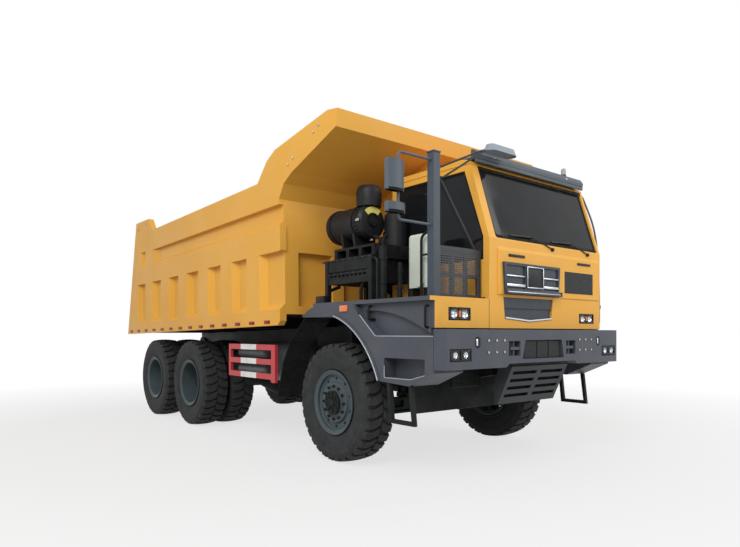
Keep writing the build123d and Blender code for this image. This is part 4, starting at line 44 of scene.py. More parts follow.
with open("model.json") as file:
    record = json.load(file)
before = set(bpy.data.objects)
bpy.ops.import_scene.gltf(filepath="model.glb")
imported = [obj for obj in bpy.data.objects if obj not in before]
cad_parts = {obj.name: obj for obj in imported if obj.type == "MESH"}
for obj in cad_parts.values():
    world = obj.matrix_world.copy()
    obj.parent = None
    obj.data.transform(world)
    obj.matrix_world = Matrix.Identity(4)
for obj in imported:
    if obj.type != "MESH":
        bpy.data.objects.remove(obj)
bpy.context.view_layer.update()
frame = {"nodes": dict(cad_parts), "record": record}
NOSE_X = 4.6055  # the bumper's face
PANEL_X = 4.4155  # the face of the cab's front and of the deck's front panel
NODES = frame["nodes"]
FORWARD, LEFTWARD, UP = (1, 0, 0), (0, 1, 0), (0, 0, 1)
RAKE = 0.0192  # the bed's rise towards the cab
BED_UP = (-RAKE, 0, 1)
BED_BLACK = 1.840  # top of the black paint on the bed's beams, measured along BED_UP


# ---------------------------------------------------------------- colours and nodes

def linear(code):
    """An sRGB hex colour as linear RGBA."""
    channels = [int(code[i:i + 2], 16) / 255 for i in (1, 3, 5)]
    return [c / 12.92 if c <= 0.04045 else ((c + 0.055) / 1.055) ** 2.4 for c in channels] + [1.0]


def add(tree, kind, settings=None, **links):
    """Adds a node, sets its properties and sockets, and links its named inputs."""
    made = tree.nodes.new(kind)
    for key, value in (settings or {}).items():
        if isinstance(key, str) and hasattr(made, key):
            setattr(made, key, value)
        else:
            made.inputs[key].default_value = value
    for key, source in links.items():
        tree.links.new(source, made.inputs[key.replace("_", " ")])
    return made


def surface(name, shader, pattern=None):
    """A material whose Principled sockets are set from shader; pattern may add nodes to it."""
    material = bpy.data.materials.new(name)
    material.use_nodes = True
    tree = material.node_tree
    principled = tree.nodes["Principled BSDF"]
    for socket, value in shader.items():
        principled.inputs[socket].default_value = linear(value) if isinstance(value, str) else value
    if pattern:
        place = add(tree, "ShaderNodeTexCoord").outputs["Object"]
        pattern(tree, principled, place)
    return material


def noise_at(tree, place, scale, detail=3.0):
    """Noise with patches about 1 / scale metres across."""
    return add(tree, "ShaderNodeTexNoise", {"Scale": scale, "Detail": detail}, Vector=place).outputs["Fac"]


def ranged(tree, value, low, high, to_low, to_high):
    """A value carried from one range to another and held there."""
    settings = {"From Min": low, "From Max": high, "To Min": to_low, "To Max": to_high}
    return add(tree, "ShaderNodeMapRange", settings, Value=value).outputs["Result"]


def sums(tree, operation, first, second):
    """A Math node on two values, each a socket or a number."""
    made = add(tree, "ShaderNodeMath", {"operation": operation})
    for socket, value in zip(made.inputs, (first, second)):
        if isinstance(value, (int, float)):
            socket.default_value = value
        else:
            tree.links.new(value, socket)
    return made.outputs[0]


def blended(tree, factor, first, second):
    """Colour between two colours by factor; each is a hex code, linear RGBA or a socket."""
    mix = add(tree, "ShaderNodeMix", {"data_type": "RGBA"})
    tree.links.new(factor, mix.inputs["Factor"])
    colours = [socket for socket in mix.inputs if socket.type == "RGBA"]
    for socket, colour in zip(colours, (first, second)):
        if isinstance(colour, bpy.types.NodeSocket):
            tree.links.new(colour, socket)
        else:
            socket.default_value = linear(colour) if isinstance(colour, str) else colour
    return [socket for socket in mix.outputs if socket.type == "RGBA"][0]


def coated(tree, principled, colour, rough):
    """Gives a shader its colour and roughness."""
    tree.links.new(colour, principled.inputs["Base Color"])
    tree.links.new(rough, principled.inputs["Roughness"])


def bumped(tree, principled, height, distance, strength):
    """Gives a shader a relief, distance in metres."""
    settings = {"Distance": distance, "Strength": strength}
    normal = add(tree, "ShaderNodeBump", settings, Height=height).outputs["Normal"]
    tree.links.new(normal, principled.inputs["Normal"])


def orange_peel(tree, principled, place):
    """The faint waviness of sprayed paint, about 6 mm across."""
    bumped(tree, principled, noise_at(tree, place, 160.0, 1.0), 0.0006, 0.35)


def enamel(base, shade, dust, dust_share=0.25, splits=()):
    """Sprayed enamel: cloudiness over about 1.1 m, orange peel, dust in patches of 200 mm low down.

    A split is (direction, edge, colour): beyond edge along the direction the paint has another colour.
    """
    def pattern(tree, principled, place):
        cloud = ranged(tree, noise_at(tree, place, 0.9), 0.3, 0.7, 0.0, 1.0)
        paint = blended(tree, cloud, base, shade)
        for direction, edge, colour in splits:
            along = add(tree, "ShaderNodeVectorMath", {"operation": "DOT_PRODUCT", 1: direction})
            tree.links.new(place, along.inputs[0])
            along = along.outputs["Value"]
            paint = blended(tree, sums(tree, "GREATER_THAN", along, edge), paint, colour)
        height = add(tree, "ShaderNodeSeparateXYZ", Vector=place).outputs["Z"]
        low = ranged(tree, height, 0.5, 2.4, 1.0, 0.15)
        grit = ranged(tree, noise_at(tree, place, 5.0, 8.0), 0.48, 0.75, 0.0, dust_share)
        dusty = sums(tree, "MULTIPLY", low, grit)
        rough = ranged(tree, noise_at(tree, place, 2.5, 5.0), 0.3, 0.7, 0.36, 0.5)
        coated(tree, principled, blended(tree, dusty, paint, dust), rough)
        orange_peel(tree, principled, place)
    return pattern


def speckled(base, shade, scale, depth, rough_low, rough_high):
    """A cast, moulded or rubber surface: two near colours and a grain 1 / scale metres across."""
    def pattern(tree, principled, place):
        tone = ranged(tree, noise_at(tree, place, scale / 12), 0.35, 0.65, 0.0, 1.0)
        rough = ranged(tree, noise_at(tree, place, scale / 30, 5.0), 0.3, 0.7, rough_low, rough_high)
        coated(tree, principled, blended(tree, tone, base, shade), rough)
        bumped(tree, principled, noise_at(tree, place, scale, 2.0), depth, 0.6)
    return pattern


def filmed(base, shade, scale, rough_low, rough_high):
    """A hard smooth skin under a thin film of dust, in patches 1 / scale metres across."""
    def pattern(tree, principled, place):
        film = ranged(tree, noise_at(tree, place, scale, 6.0), 0.35, 0.7, 0.0, 1.0)
        rough = ranged(tree, film, 0.0, 1.0, rough_low, rough_high)
        coated(tree, principled, blended(tree, film, base, shade), rough)
    return pattern


def warning_paint(tree, principled, place):
    """Red enamel with a white middle part along the guard's length."""
    low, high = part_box("side_guards")
    length = high.x - low.x
    along = add(tree, "ShaderNodeSeparateXYZ", Vector=place).outputs["X"]
    after = sums(tree, "GREATER_THAN", along, low.x + 0.28 * length)
    before = sums(tree, "LESS_THAN", along, low.x + 0.62 * length)
    white = sums(tree, "MULTIPLY", after, before)
    grime = ranged(tree, noise_at(tree, place, 6.0, 6.0), 0.45, 0.75, 0.0, 0.25)
    bands = blended(tree, white, "#C2323A", "#E9E8E6")
    rough = ranged(tree, grime, 0.0, 0.25, 0.4, 0.55)
    coated(tree, principled, blended(tree, grime, bands, "#8C8378"), rough)
    orange_peel(tree, principled, place)


def tyre_pattern(tree, principled, place):
    """Rubber: two greys in patches of 110 mm, dust in patches of 26 mm and a grain of 4 mm."""
    tone = ranged(tree, noise_at(tree, place, 9.0, 6.0), 0.35, 0.7, 0.0, 1.0)
    rubber = blended(tree, tone, "#2D2E2F", "#38393B")
    grit = ranged(tree, noise_at(tree, place, 38.0, 4.0), 0.5, 0.8, 0.0, 0.3)
    rough = ranged(tree, grit, 0.0, 0.3, 0.68, 0.78)
    coated(tree, principled, blended(tree, grit, rubber, "#57544F"), rough)
    bumped(tree, principled, noise_at(tree, place, 240.0, 2.0), 0.0006, 0.5)


def wire_mesh(tree, principled, place):
    """Woven wire with 25 mm squares, drawn about twice as coarse as the real 12 mm so that it shows."""
    wires = []
    for axis in ("X", "Y", "Z"):
        run = add(tree, "ShaderNodeSeparateXYZ", Vector=place).outputs[axis]
        share = sums(tree, "FRACT", sums(tree, "MULTIPLY", run, 40.0), 0.0)
        wires.append(sums(tree, "LESS_THAN", share, 0.38))
    solid = sums(tree, "MAXIMUM", sums(tree, "MAXIMUM", wires[0], wires[1]), wires[2])
    tree.links.new(solid, principled.inputs["Alpha"])
    dust = ranged(tree, noise_at(tree, place, 12.0, 6.0), 0.4, 0.75, 0.0, 1.0)
    rough = ranged(tree, dust, 0.0, 1.0, 0.48, 0.6)
    coated(tree, principled, blended(tree, dust, "#2C3036", "#3A3C3D"), rough)


class PaintSettings(bpy.types.PropertyGroup):
    yellow: FloatVectorProperty(
        name="Yellow", description="Enamel of bed and cab", size=4, subtype="COLOR",
        default=linear("#E9AE47"),
    )
    yellow_shade: FloatVectorProperty(
        name="Yellow shade", description="The yellow enamel where its coat is thin", size=4,
        subtype="COLOR", default=linear("#E3A640"),
    )
    grey: FloatVectorProperty(
        name="Grey", description="Enamel of bumper, deck and fenders", size=4, subtype="COLOR",
        default=linear("#4E525A"),
    )
    grey_shade: FloatVectorProperty(
        name="Grey shade", description="The grey enamel where its coat is thin", size=4,
        subtype="COLOR", default=linear("#464A52"),
    )


MATERIALS = {}
SATIN = {"Specular IOR Level": 0.25}
DULL = {"Specular IOR Level": 0.2}
MATT = {"Specular IOR Level": 0.15}
METAL = {"Metallic": 1.0}
TRIM_YELLOW = "#E5AA46"
GREY_DUST = "#716C65"
DARK_DUST = "#6F6B65"


def make_materials(paint):
    """The truck's finishes."""
    finishes = (
        # sprayed polyurethane enamel on plate steel: satin gloss with faint orange peel and dust
        ("yellow_enamel", SATIN, enamel(paint.yellow, paint.yellow_shade, "#CFAE78", 0.16)),
        # the same enamel in blue-grey on bumper and fenders
        ("grey_enamel", SATIN, enamel(paint.grey, paint.grey_shade, GREY_DUST)),
        # the same two enamels on one sheet: yellow in front, grey on top and on its sides
        ("deck_enamel", SATIN,
         enamel(paint.grey, paint.grey_shade, GREY_DUST,
                splits=((FORWARD, PANEL_X - 0.006, TRIM_YELLOW),))),
        # blue-grey enamel on the mirrors, black on their inboard rods, pale on the overhead dish
        ("mirror_enamel", SATIN,
         enamel("#5A646E", "#525B65", DARK_DUST,
                splits=((LEFTWARD, -1.475, "#15181B"), (UP, 3.695, "#8E979F")))),
        # dark blue-grey enamel on the post, nearly black on its brace and framed screen
        ("post_enamel", SATIN,
         enamel("#454D57", "#3E454E", DARK_DUST, splits=((LEFTWARD, -1.478, "#23272C"),))),
        # the guard's enamel, darker from road film
        ("guard_enamel", DULL, enamel("#3B3E41", "#34373A", "#5B5751")),
        # visor and mirror shells in moulded grey plastic with a satin skin, paler on the visor's top
        ("visor_abs", SATIN,
         enamel("#525B64", "#4A525B", DARK_DUST, splits=((UP, 3.765, "#A4ABB1"),))),
        # bed floor: yellow above, black on the beams below the side walls
        ("bed_enamel", DULL,
         enamel("#131515", "#1B1D1D", "#3A3732", splits=((BED_UP, BED_BLACK, TRIM_YELLOW),))),
        # rotation-moulded tank, white above its black bracket
        ("tank_and_bracket", {"Specular IOR Level": 0.3},
         enamel("#141617", "#141617", "#2A2825", splits=((UP, 2.1495, "#D3DBCC"),))),
        # darker grey enamel on the pillar's grab rail
        ("dark_grey_enamel", SATIN, enamel("#4D545E", "#454B54", DARK_DUST)),
        # thick black chassis paint: nearly matt, its lumps drawn at 11 mm, not 3 mm, so that they show
        ("chassis_paint", DULL, speckled("#131515", "#1D1F1F", 90.0, 0.0008, 0.5, 0.75)),
        # painted cast iron: sand-cast grain drawn at 8 mm, not the real 1 mm, so that it shows
        ("cast_iron", DULL, speckled("#1C1E1F", "#2A2C2D", 120.0, 0.0012, 0.55, 0.8)),
        # vulcanised tyre rubber: dull, greyed by dust
        ("tyre_rubber", MATT, tyre_pattern),
        # pressed steel rims in blue-grey enamel
        ("rim_enamel", SATIN, enamel("#4A565A", "#414C50", "#68645D")),
        # moulded rubber of mudguards, seals and hoses: near black, grain drawn at 4 mm, not 1 mm
        ("moulded_rubber", MATT, speckled("#0E0F0F", "#171818", 260.0, 0.0005, 0.6, 0.8)),
        # moulded ABS: satin black with a leather grain of 2.4 mm, twice the real one so that it shows
        ("black_abs", {"Specular IOR Level": 0.22}, speckled("#17181A", "#1F2022", 420.0, 0.0004, 0.4, 0.55)),
        # grille in dark grey moulded ABS, with a grain of 2.6 mm
        ("grey_abs", {"Specular IOR Level": 0.22}, speckled("#3A3F46", "#42474E", 380.0, 0.0003, 0.35, 0.5)),
        # tinted laminated glass: dark, with a sharp gloss under dust wiped in patches of 300 mm
        ("tinted_glass", {"IOR": 1.25, "Transmission Weight": 0.6},
         filmed("#2A2C2F", "#323438", 3.3, 0.03, 0.09)),
        # clear polycarbonate lamp lens: glassy, a little milky where dust of 25 mm patches sits
        ("lamp_lens", {"IOR": 1.3, "Transmission Weight": 1.0},
         filmed("#F2F4F5", "#E9ECED", 40.0, 0.02, 0.06)),
        # vacuum-metallised lamp bowl: a bright soft mirror, hazed in patches of 15 mm
        ("lamp_mirror", METAL, filmed("#DFE2E4", "#D6DADC", 65.0, 0.11, 0.18)),
        # amber acrylic: saturated orange with a glassy skin, dusty in patches of 20 mm
        ("amber_acrylic", {"Coat Weight": 0.6}, filmed("#E87A32", "#DF7230", 50.0, 0.15, 0.24)),
        # red acrylic of reflectors and tail lamps, dulled by road dust in patches of 20 mm
        ("red_acrylic", DULL, filmed("#8A1E10", "#7F2013", 50.0, 0.3, 0.42)),
        # zinc-plated steel fasteners: pale metal with yellow passivation in patches of 11 mm
        ("zinc_plate", METAL, filmed("#B9BBB8", "#ABA998", 90.0, 0.32, 0.46)),
        # satin-chromed trim strips, finger-marked in patches of 40 mm
        ("satin_chrome", {"Metallic": 0.9}, filmed("#C8CED2", "#C0C6CA", 25.0, 0.26, 0.35)),
        # silvered mirror glass under dust in patches of 80 mm
        ("mirror_glass", METAL, filmed("#E4E8EA", "#DADFE1", 12.0, 0.02, 0.05)),
        # painted highlight: a pale strip on the blue-grey enamel where its rounded edges catch the light,
        # uneven every 22 mm
        ("painted_edge_highlight", {"Metallic": 0.3}, filmed("#A9AFB6", "#979EA6", 45.0, 0.36, 0.5)),
        # printed polyester label, blank, with grime in patches of 17 mm
        ("yellow_label", {}, filmed("#E6DC74", "#DCD06B", 60.0, 0.4, 0.52)),
        # woven wire screen in dark enamel
        ("wire_screen", {}, wire_mesh),
        # rotation-moulded polyethylene: translucent white with a green cast, waves of 17 mm
        ("polyethylene", {"Subsurface Weight": 0.15}, speckled("#CDD5C6", "#D5DDCF", 60.0, 0.001, 0.4, 0.55)),
        # grey enamel on fuel and air tanks
        ("tank_enamel", DULL, enamel("#5E6264", "#55595B", "#736C62")),
        # red and white warning enamel, sprayed over masks
        ("warning_enamel", {}, warning_paint),
        # hard-chromed piston rods with an oil film in patches of 120 mm
        ("hard_chrome", METAL, filmed("#C9CCCE", "#BDC0C1", 8.0, 0.1, 0.17)),
        # woven seat cloth over foam: soft dark sheen, threads 1.4 mm apart
        ("seat_cloth", {"Sheen Weight": 0.3},
         speckled("#26282B", "#303236", 700.0, 0.0008, 0.85, 0.95)),
    )
    for name, shader, pattern in finishes:
        MATERIALS[name] = surface(name, shader, pattern)


FINISH_OF_SLOT = {
    "yellow_paint": "yellow_enamel",
    "grey_paint": "grey_enamel",
    "dark_grey_paint": "dark_grey_enamel",
    "chassis_black": "chassis_paint",
    "cast_iron": "cast_iron",
    "black_rubber": "moulded_rubber",
    "black_plastic": "black_abs",
    "tank_white": "polyethylene",
    "grille_grey": "grey_abs",
    "glass": "tinted_glass",
    "lamp_lens": "lamp_lens",
    "seat_fabric": "seat_cloth",
    "tank_grey": "tank_enamel",
    "guard_red": "warning_enamel",
    "chrome": "hard_chrome",
    "tyre": "tyre_rubber",
    "rim_paint": "rim_enamel",
}
# nodes whose finish differs from their slot's
FINISH_OF_NODE = {
    "deck_platform": "deck_enamel",
    "mirrors": "mirror_enamel",
    "door_mirror": "visor_abs",
    "deck_railing": "post_enamel",
    "lower_guard": "guard_enamel",
    "sun_visor": "visor_abs",
    "header_tank": "tank_and_bracket",
    "bed_floor": "bed_enamel",
    "bed_front_wall": "bed_enamel",
}


# ---------------------------------------------------------------- mesh helpers

def add_block(mesh, low, high, bevel=0.0):
    """A box between two corners, with its edges rounded off."""
    low, high = Vector(low), Vector(high)
    size = high - low
    place = Matrix.Translation((low + high) / 2) @ Matrix.Diagonal((*size, 1.0))
    made = bmesh.ops.create_cube(mesh, size=1.0, matrix=place)["verts"]
    if bevel:
        edges = list({edge for vert in made for edge in vert.link_edges})
        bmesh.ops.bevel(mesh, geom=edges, offset=bevel, segments=2, profile=0.5, affect="EDGES")


def join_rings(mesh, rings, closed=False, capped=False):
    """Faces between neighbouring rings of points; a ring of one point is a pole.

    A closed row joins its last ring to its first, and a capped one has a face over each end.
    """
    faces = []
    for first, second in zip(rings, rings[1:] + rings[:1] if closed else rings[1:]):
        for i in range(max(len(first), len(second))):
            corners = ((first, i), (second, i), (second, i + 1), (first, i + 1))
            corners = list(dict.fromkeys(ring[k % len(ring)] for ring, k in corners))
            if len(corners) > 2:
                faces.append(mesh.faces.new(corners))
    if capped:
        faces += [mesh.faces.new(rings[0]), mesh.faces.new(list(reversed(rings[-1])))]
    bmesh.ops.recalc_face_normals(mesh, faces=faces)


def add_prism(mesh, outline, depth):
    """A closed outline of points carried along depth, a vector."""
    near = [mesh.verts.new(point) for point in outline]
    far = [mesh.verts.new(Vector(point) + Vector(depth)) for point in outline]
    join_rings(mesh, [near, far], capped=True)


def ring_about(mesh, foot, axis, reach, steps):
    """Points on a circle about an axis; reach goes from the foot to the first."""
    turns = (Matrix.Rotation(2 * pi * i / steps, 3, axis) for i in range(steps))
    return [mesh.verts.new(foot + turn @ reach) for turn in turns]


def add_turned(mesh, profile, centre, axis, steps=32, closed=False):
    """A surface turned about an axis; profile columns: along the axis, radius."""
    axis = Vector(axis).normalized()
    across = axis.orthogonal().normalized()
    rings = []
    for along, radius in profile:
        foot = Vector(centre) + axis * along
        if radius < 1e-6:
            rings.append([mesh.verts.new(foot)])
        else:
            rings.append(ring_about(mesh, foot, axis, across * radius, steps))
    join_rings(mesh, rings, closed=closed)


def rounded_path(points, bend, steps=5):
    """The points of a path with its corners turned into arcs."""
    points = [Vector(point) for point in points]
    path = [points[0]]
    for before, corner, after in zip(points, points[1:], points[2:]):
        into, out = (corner - before).normalized(), (after - corner).normalized()
        reach = min(bend, (corner - before).length / 2, (after - corner).length / 2)
        start, end = corner - into * reach, corner + out * reach
        for i in range(steps + 1):
            t = i / steps
            path.append(start * (1 - t) ** 2 + corner * 2 * t * (1 - t) + end * t ** 2)
    return path + [points[-1]]


def add_tube(mesh, points, radius, bend=0.05, sides=12):
    """A closed round tube along a path."""
    path = rounded_path(points, bend)
    rings = []
    across = (path[1] - path[0]).orthogonal().normalized()
    for i, point in enumerate(path):
        along = (path[min(i + 1, len(path) - 1)] - path[max(i - 1, 0)]).normalized()
        across = (across - along * across.dot(along)).normalized()
        rings.append(ring_about(mesh, point, along, across * radius, sides))
    join_rings(mesh, rings, capped=True)


def add_nut(mesh, centre, aim, flats, height, stud=0.0):
    """A six-sided nut or bolt head with a bevelled top, and the end of its stud."""
    corner = flats / 2 / cos(pi / 6)
    profile = ((0, corner), (height * 0.8, corner), (height, corner * 0.86), (height, 0))
    add_turned(mesh, profile, centre, aim, steps=6)
    if stud:
        tip = Vector(centre) + Vector(aim).normalized() * height
        add_turned(mesh, ((0, corner * 0.5), (stud, corner * 0.5), (stud, 0)), tip, aim, steps=8)


def as_mesh(name, shape):
    """Mesh data of a bmesh, or of a list of shapes as one; they are used up. Mesh data passes through."""
    if isinstance(shape, bpy.types.Mesh):
        return shape
    if isinstance(shape, list):
        parts = [as_mesh("part", part) for part in shape]
        shape = bmesh.new()
        for part in parts:
            shape.from_mesh(part)
            bpy.data.meshes.remove(part)
    data = bpy.data.meshes.new(name)
    shape.to_mesh(data)
    shape.free()
    return data


def finished(name, shape, finish, body, smooth=None, replaces=()):
    """Links a finished piece to its body and the nodes it stands for."""
    data = as_mesh(name, shape)
    piece = bpy.data.objects.new(name, data)
    bpy.context.scene.collection.objects.link(piece)
    data.materials.clear()
    data.materials.append(MATERIALS[finish])
    if smooth is not None:
        data.shade_smooth()
        data.set_sharp_from_angle(angle=radians(smooth))
    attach(piece, body)
    for node in replaces:
        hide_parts(node)
    return piece


# ---------------------------------------------------------------- repeating by geometry nodes

def repeat_tree():
    """Node tree that repeats its mesh: each copy is one shift and one turn on from the last."""
    tree = bpy.data.node_groups.new("repeat", "GeometryNodeTree")
    sockets = (
        ("Geometry", "INPUT", "NodeSocketGeometry"),
        ("Count", "INPUT", "NodeSocketInt"),
        ("Centre", "INPUT", "NodeSocketVector"),
        ("Shift", "INPUT", "NodeSocketVector"),
        ("Turn", "INPUT", "NodeSocketVector"),
        ("Finish", "INPUT", "NodeSocketMaterial"),
        ("Geometry", "OUTPUT", "NodeSocketGeometry"),
    )
    for name, way, kind in sockets:
        tree.interface.new_socket(name, in_out=way, socket_type=kind)
    given = tree.nodes.new("NodeGroupInput").outputs
    index = add(tree, "GeometryNodeInputIndex").outputs[0]
    shift = add(tree, "ShaderNodeVectorMath", {"operation": "SCALE"}, Vector=given["Shift"], Scale=index)
    turn = add(tree, "ShaderNodeVectorMath", {"operation": "SCALE"}, Vector=given["Turn"], Scale=index)
    place = add(tree, "ShaderNodeVectorMath", {"operation": "ADD"})
    tree.links.new(given["Centre"], place.inputs[0])
    tree.links.new(shift.outputs[0], place.inputs[1])
    points = add(tree, "GeometryNodePoints", Count=given["Count"], Position=place.outputs[0])
    copies = add(tree, "GeometryNodeInstanceOnPoints", Instance=given["Geometry"], Rotation=turn.outputs[0])
    tree.links.new(points.outputs[0], copies.inputs["Points"])
    plain = add(tree, "GeometryNodeRealizeInstances", Geometry=copies.outputs[0])
    painted = add(tree, "GeometryNodeSetMaterial", Geometry=plain.outputs[0], Material=given["Finish"])
    tree.links.new(painted.outputs[0], tree.nodes.new("NodeGroupOutput").inputs[0])
    return tree


def repeated(seed, count, finish, centre=(0, 0, 0), shift=(0, 0, 0), turn=(0, 0, 0)):
    """Mesh data of a small shape repeated by the repeat tree."""
    tree = bpy.data.node_groups.get("repeat") or repeat_tree()
    host = bpy.data.objects.new("host", as_mesh("seed", seed))
    bpy.context.scene.collection.objects.link(host)
    modifier = host.modifiers.new("repeat", "NODES")
    modifier.node_group = tree
    values = {"Count": count, "Centre": centre, "Shift": shift, "Turn": turn, "Finish": MATERIALS[finish]}
    for item in tree.interface.items_tree:
        if item.in_out == "INPUT" and item.name in values:
            modifier[item.identifier] = values[item.name]
    bpy.context.view_layer.update()
    shown = host.evaluated_get(bpy.context.evaluated_depsgraph_get())
    data = bpy.data.meshes.new_from_object(shown)
    host.modifiers.remove(modifier)
    bpy.data.objects.remove(host)
    return data


def bolt_row(place, aim, flats, height, finish, count=1, shift=(0, 0, 0)):
    """Mesh data of a row of bolt heads."""
    bolt = bmesh.new()
    add_nut(bolt, place, aim, flats, height)
    return repeated(bolt, count, finish, shift=shift)


# ---------------------------------------------------------------- finishes

class TRUCK_OT_finishes(bpy.types.Operator):
    """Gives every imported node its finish"""
    bl_idname = "truck.finishes"
    bl_label = "Finishes"

    def execute(self, context):
        make_materials(context.scene.truck_paint)
        for part in frame["record"]["subparts"]:
            obj = NODES[part["node"]]
            obj.data.materials.clear()
            finish = FINISH_OF_NODE.get(part["node"], FINISH_OF_SLOT[part["material_slot"]])
            obj.data.materials.append(MATERIALS[finish])
        return {"FINISHED"}


# ---------------------------------------------------------------- tyres

class TyreSettings(bpy.types.PropertyGroup):
    lugs: IntProperty(name="Lugs", description="Lugs on each shoulder", default=32, min=12)
    depth: FloatProperty(
        name="Tread depth", description="Groove depth at the crown", default=0.034, unit="LENGTH",
    )
    groove: FloatProperty(
        name="Groove share", description="Groove width as a share of the pitch", default=0.31,
    )


# half widths of one tyre, and how far its shoulders lie below the crown
BEAD_HALF = 0.155
WALL_HALF = 0.215
TREAD_HALF = 0.186
SHOULDER_DROP = 0.014
SINK = 0.0003  # by which a made tyre stays inside its node


def arc_through(first, middle, last, steps):
    """Points on the arc through three points of a plane."""
    (ax, ay), (bx, by), (cx, cy) = first, middle, last
    d = 2 * (ax * (by - cy) + bx * (cy - ay) + cx * (ay - by))
    a2, b2, c2 = ax * ax + ay * ay, bx * bx + by * by, cx * cx + cy * cy
    ux = (a2 * (by - cy) + b2 * (cy - ay) + c2 * (ay - by)) / d
    uy = (a2 * (cx - bx) + b2 * (ax - cx) + c2 * (bx - ax)) / d
    radius = Vector((ax - ux, ay - uy)).length
    start, end = atan2(ay - uy, ax - ux), atan2(cy - uy, cx - ux)
    turns = [start + (end - start) * i / steps for i in range(steps + 1)]
    return [(ux + radius * cos(turn), uy + radius * sin(turn)) for turn in turns]


def tyre_profile(radius, bead, depth):
    """Closed section of the carcass: outward of the tyre's middle, radius."""
    middle = bead + (radius - bead) / 2
    wall = arc_through((BEAD_HALF, bead), (WALL_HALF, middle), (TREAD_HALF, radius - SHOULDER_DROP), 22)
    wall = [(y, r) for y, r in wall if r < radius - 0.068]
    # raised fitting rings on the wall
    ringed = []
    for y, r in wall:
        proud = 0.008 if bead + 0.03 < r < bead + 0.06 or radius - 0.120 < r < radius - 0.092 else 0.0
        ringed.append((y + proud, r))
    crown = [
        (TREAD_HALF + 0.013, radius - 0.052),
        (TREAD_HALF - 0.008, radius - SHOULDER_DROP - depth),
        (TREAD_HALF * 0.5, radius - 0.004 - depth),
    ]
    half = ringed + crown
    return half + [(0.0, radius - depth)] + [(-y, r) for y, r in reversed(half)]


def add_lug(mesh, side, start, pitch, groove, radius, depth):
    """One lug, from the middle of the tread out over the shoulder."""
    width = pitch * (1 - groove)
    chamfer = 0.005
    # across the lug: where round it, as a share of its width, and how high
    section = ((-0.5, "foot"), (-0.5, "edge"), (-0.46, "top"), (0.46, "top"), (0.5, "edge"), (0.5, "foot"))
    # station: outward, top radius, bottom radius, how far the lug leans round, as a share of the pitch
    stations = (
        (0.009, radius - SINK, radius - depth - 0.004, 0.34),
        (0.062, radius - 0.0018, radius - depth - 0.006, 0.16),
        (0.112, radius - 0.0052, radius - depth - 0.009, 0.0),
        (TREAD_HALF, radius - SHOULDER_DROP - 0.001, radius - depth - 0.022, 0.0),
        (TREAD_HALF + 0.0195, radius - 0.070, radius - 0.085, 0.0),
    )
    rings = []
    for out, top, foot, lean in stations:
        middle = start + lean * pitch
        levels = {"foot": foot, "edge": top - chamfer, "top": top}
        turns = [(middle + share * width, levels[level]) for share, level in section]
        rings.append([mesh.verts.new((r * cos(a), side * out, r * sin(a))) for a, r in turns])
    join_rings(mesh, rings, capped=True)


def tyre_middles(node):
    """Middles of the tyres of a node, and its outer radius."""
    low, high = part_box(node)
    radius = (high.x - low.x) / 2
    x, z = (low.x + high.x) / 2, (low.z + high.z) / 2
    half = WALL_HALF + 0.0007
    if node.endswith("tyres"):
        return [Vector((x, low.y + half, z)), Vector((x, high.y - half, z))], radius
    return [Vector((x, (low.y + high.y) / 2, z))], radius


class TRUCK_OT_tyres(bpy.types.Operator):
    """Makes the ten tyres with their walls and lugs"""
    bl_idname = "truck.tyres"
    bl_label = "Tyres"

    def execute(self, context):
        settings = context.scene.truck_tyres
        low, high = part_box("front_left_rim")
        bead = (high.x - low.x) / 2 - 0.029
        pitch = 2 * pi / settings.lugs
        for node, body in wheel_nodes("tyre"):
            middles, radius = tyre_middles(node)
            radius -= SINK
            parts = []
            for middle in middles:
                wall, lugs = bmesh.new(), bmesh.new()
                profile = tyre_profile(radius, bead, settings.depth)
                add_turned(wall, profile, middle, LEFTWARD, 96, closed=True)
                for side, start in ((1, 0.0), (-1, pitch / 2)):
                    add_lug(lugs, side, start, pitch, settings.groove, radius, settings.depth)
                lugs = repeated(lugs, settings.lugs, "tyre_rubber", middle, turn=(0, pitch, 0))
                parts += [wall, lugs]
            finished(node + "_rubber", parts, "tyre_rubber", body, smooth=35, replaces=(node,))
        return {"FINISHED"}


def wheel_nodes(kind):
    """Nodes whose name ends in kind or its plural, each with its body."""
    bodies = frame["record"]["behaviour"]["bodies"]
    for body, nodes in bodies.items():
        for node in nodes:
            if node.endswith((kind, kind + "s")) and body.startswith("wheel"):
                yield node, body


# ---------------------------------------------------------------- wheel fittings

NUTS = 12
# radius of the nuts' circle, their face, the wheel's middle, the hub cover's face and radius;
# faces lie outward of the wheel's middle
FRONT_HUB = (0.205, 0.176, 1.475, 0.204, 0.150)
TWIN_HUB = (0.214, 0.076, 1.395, 0.262, 0.116)


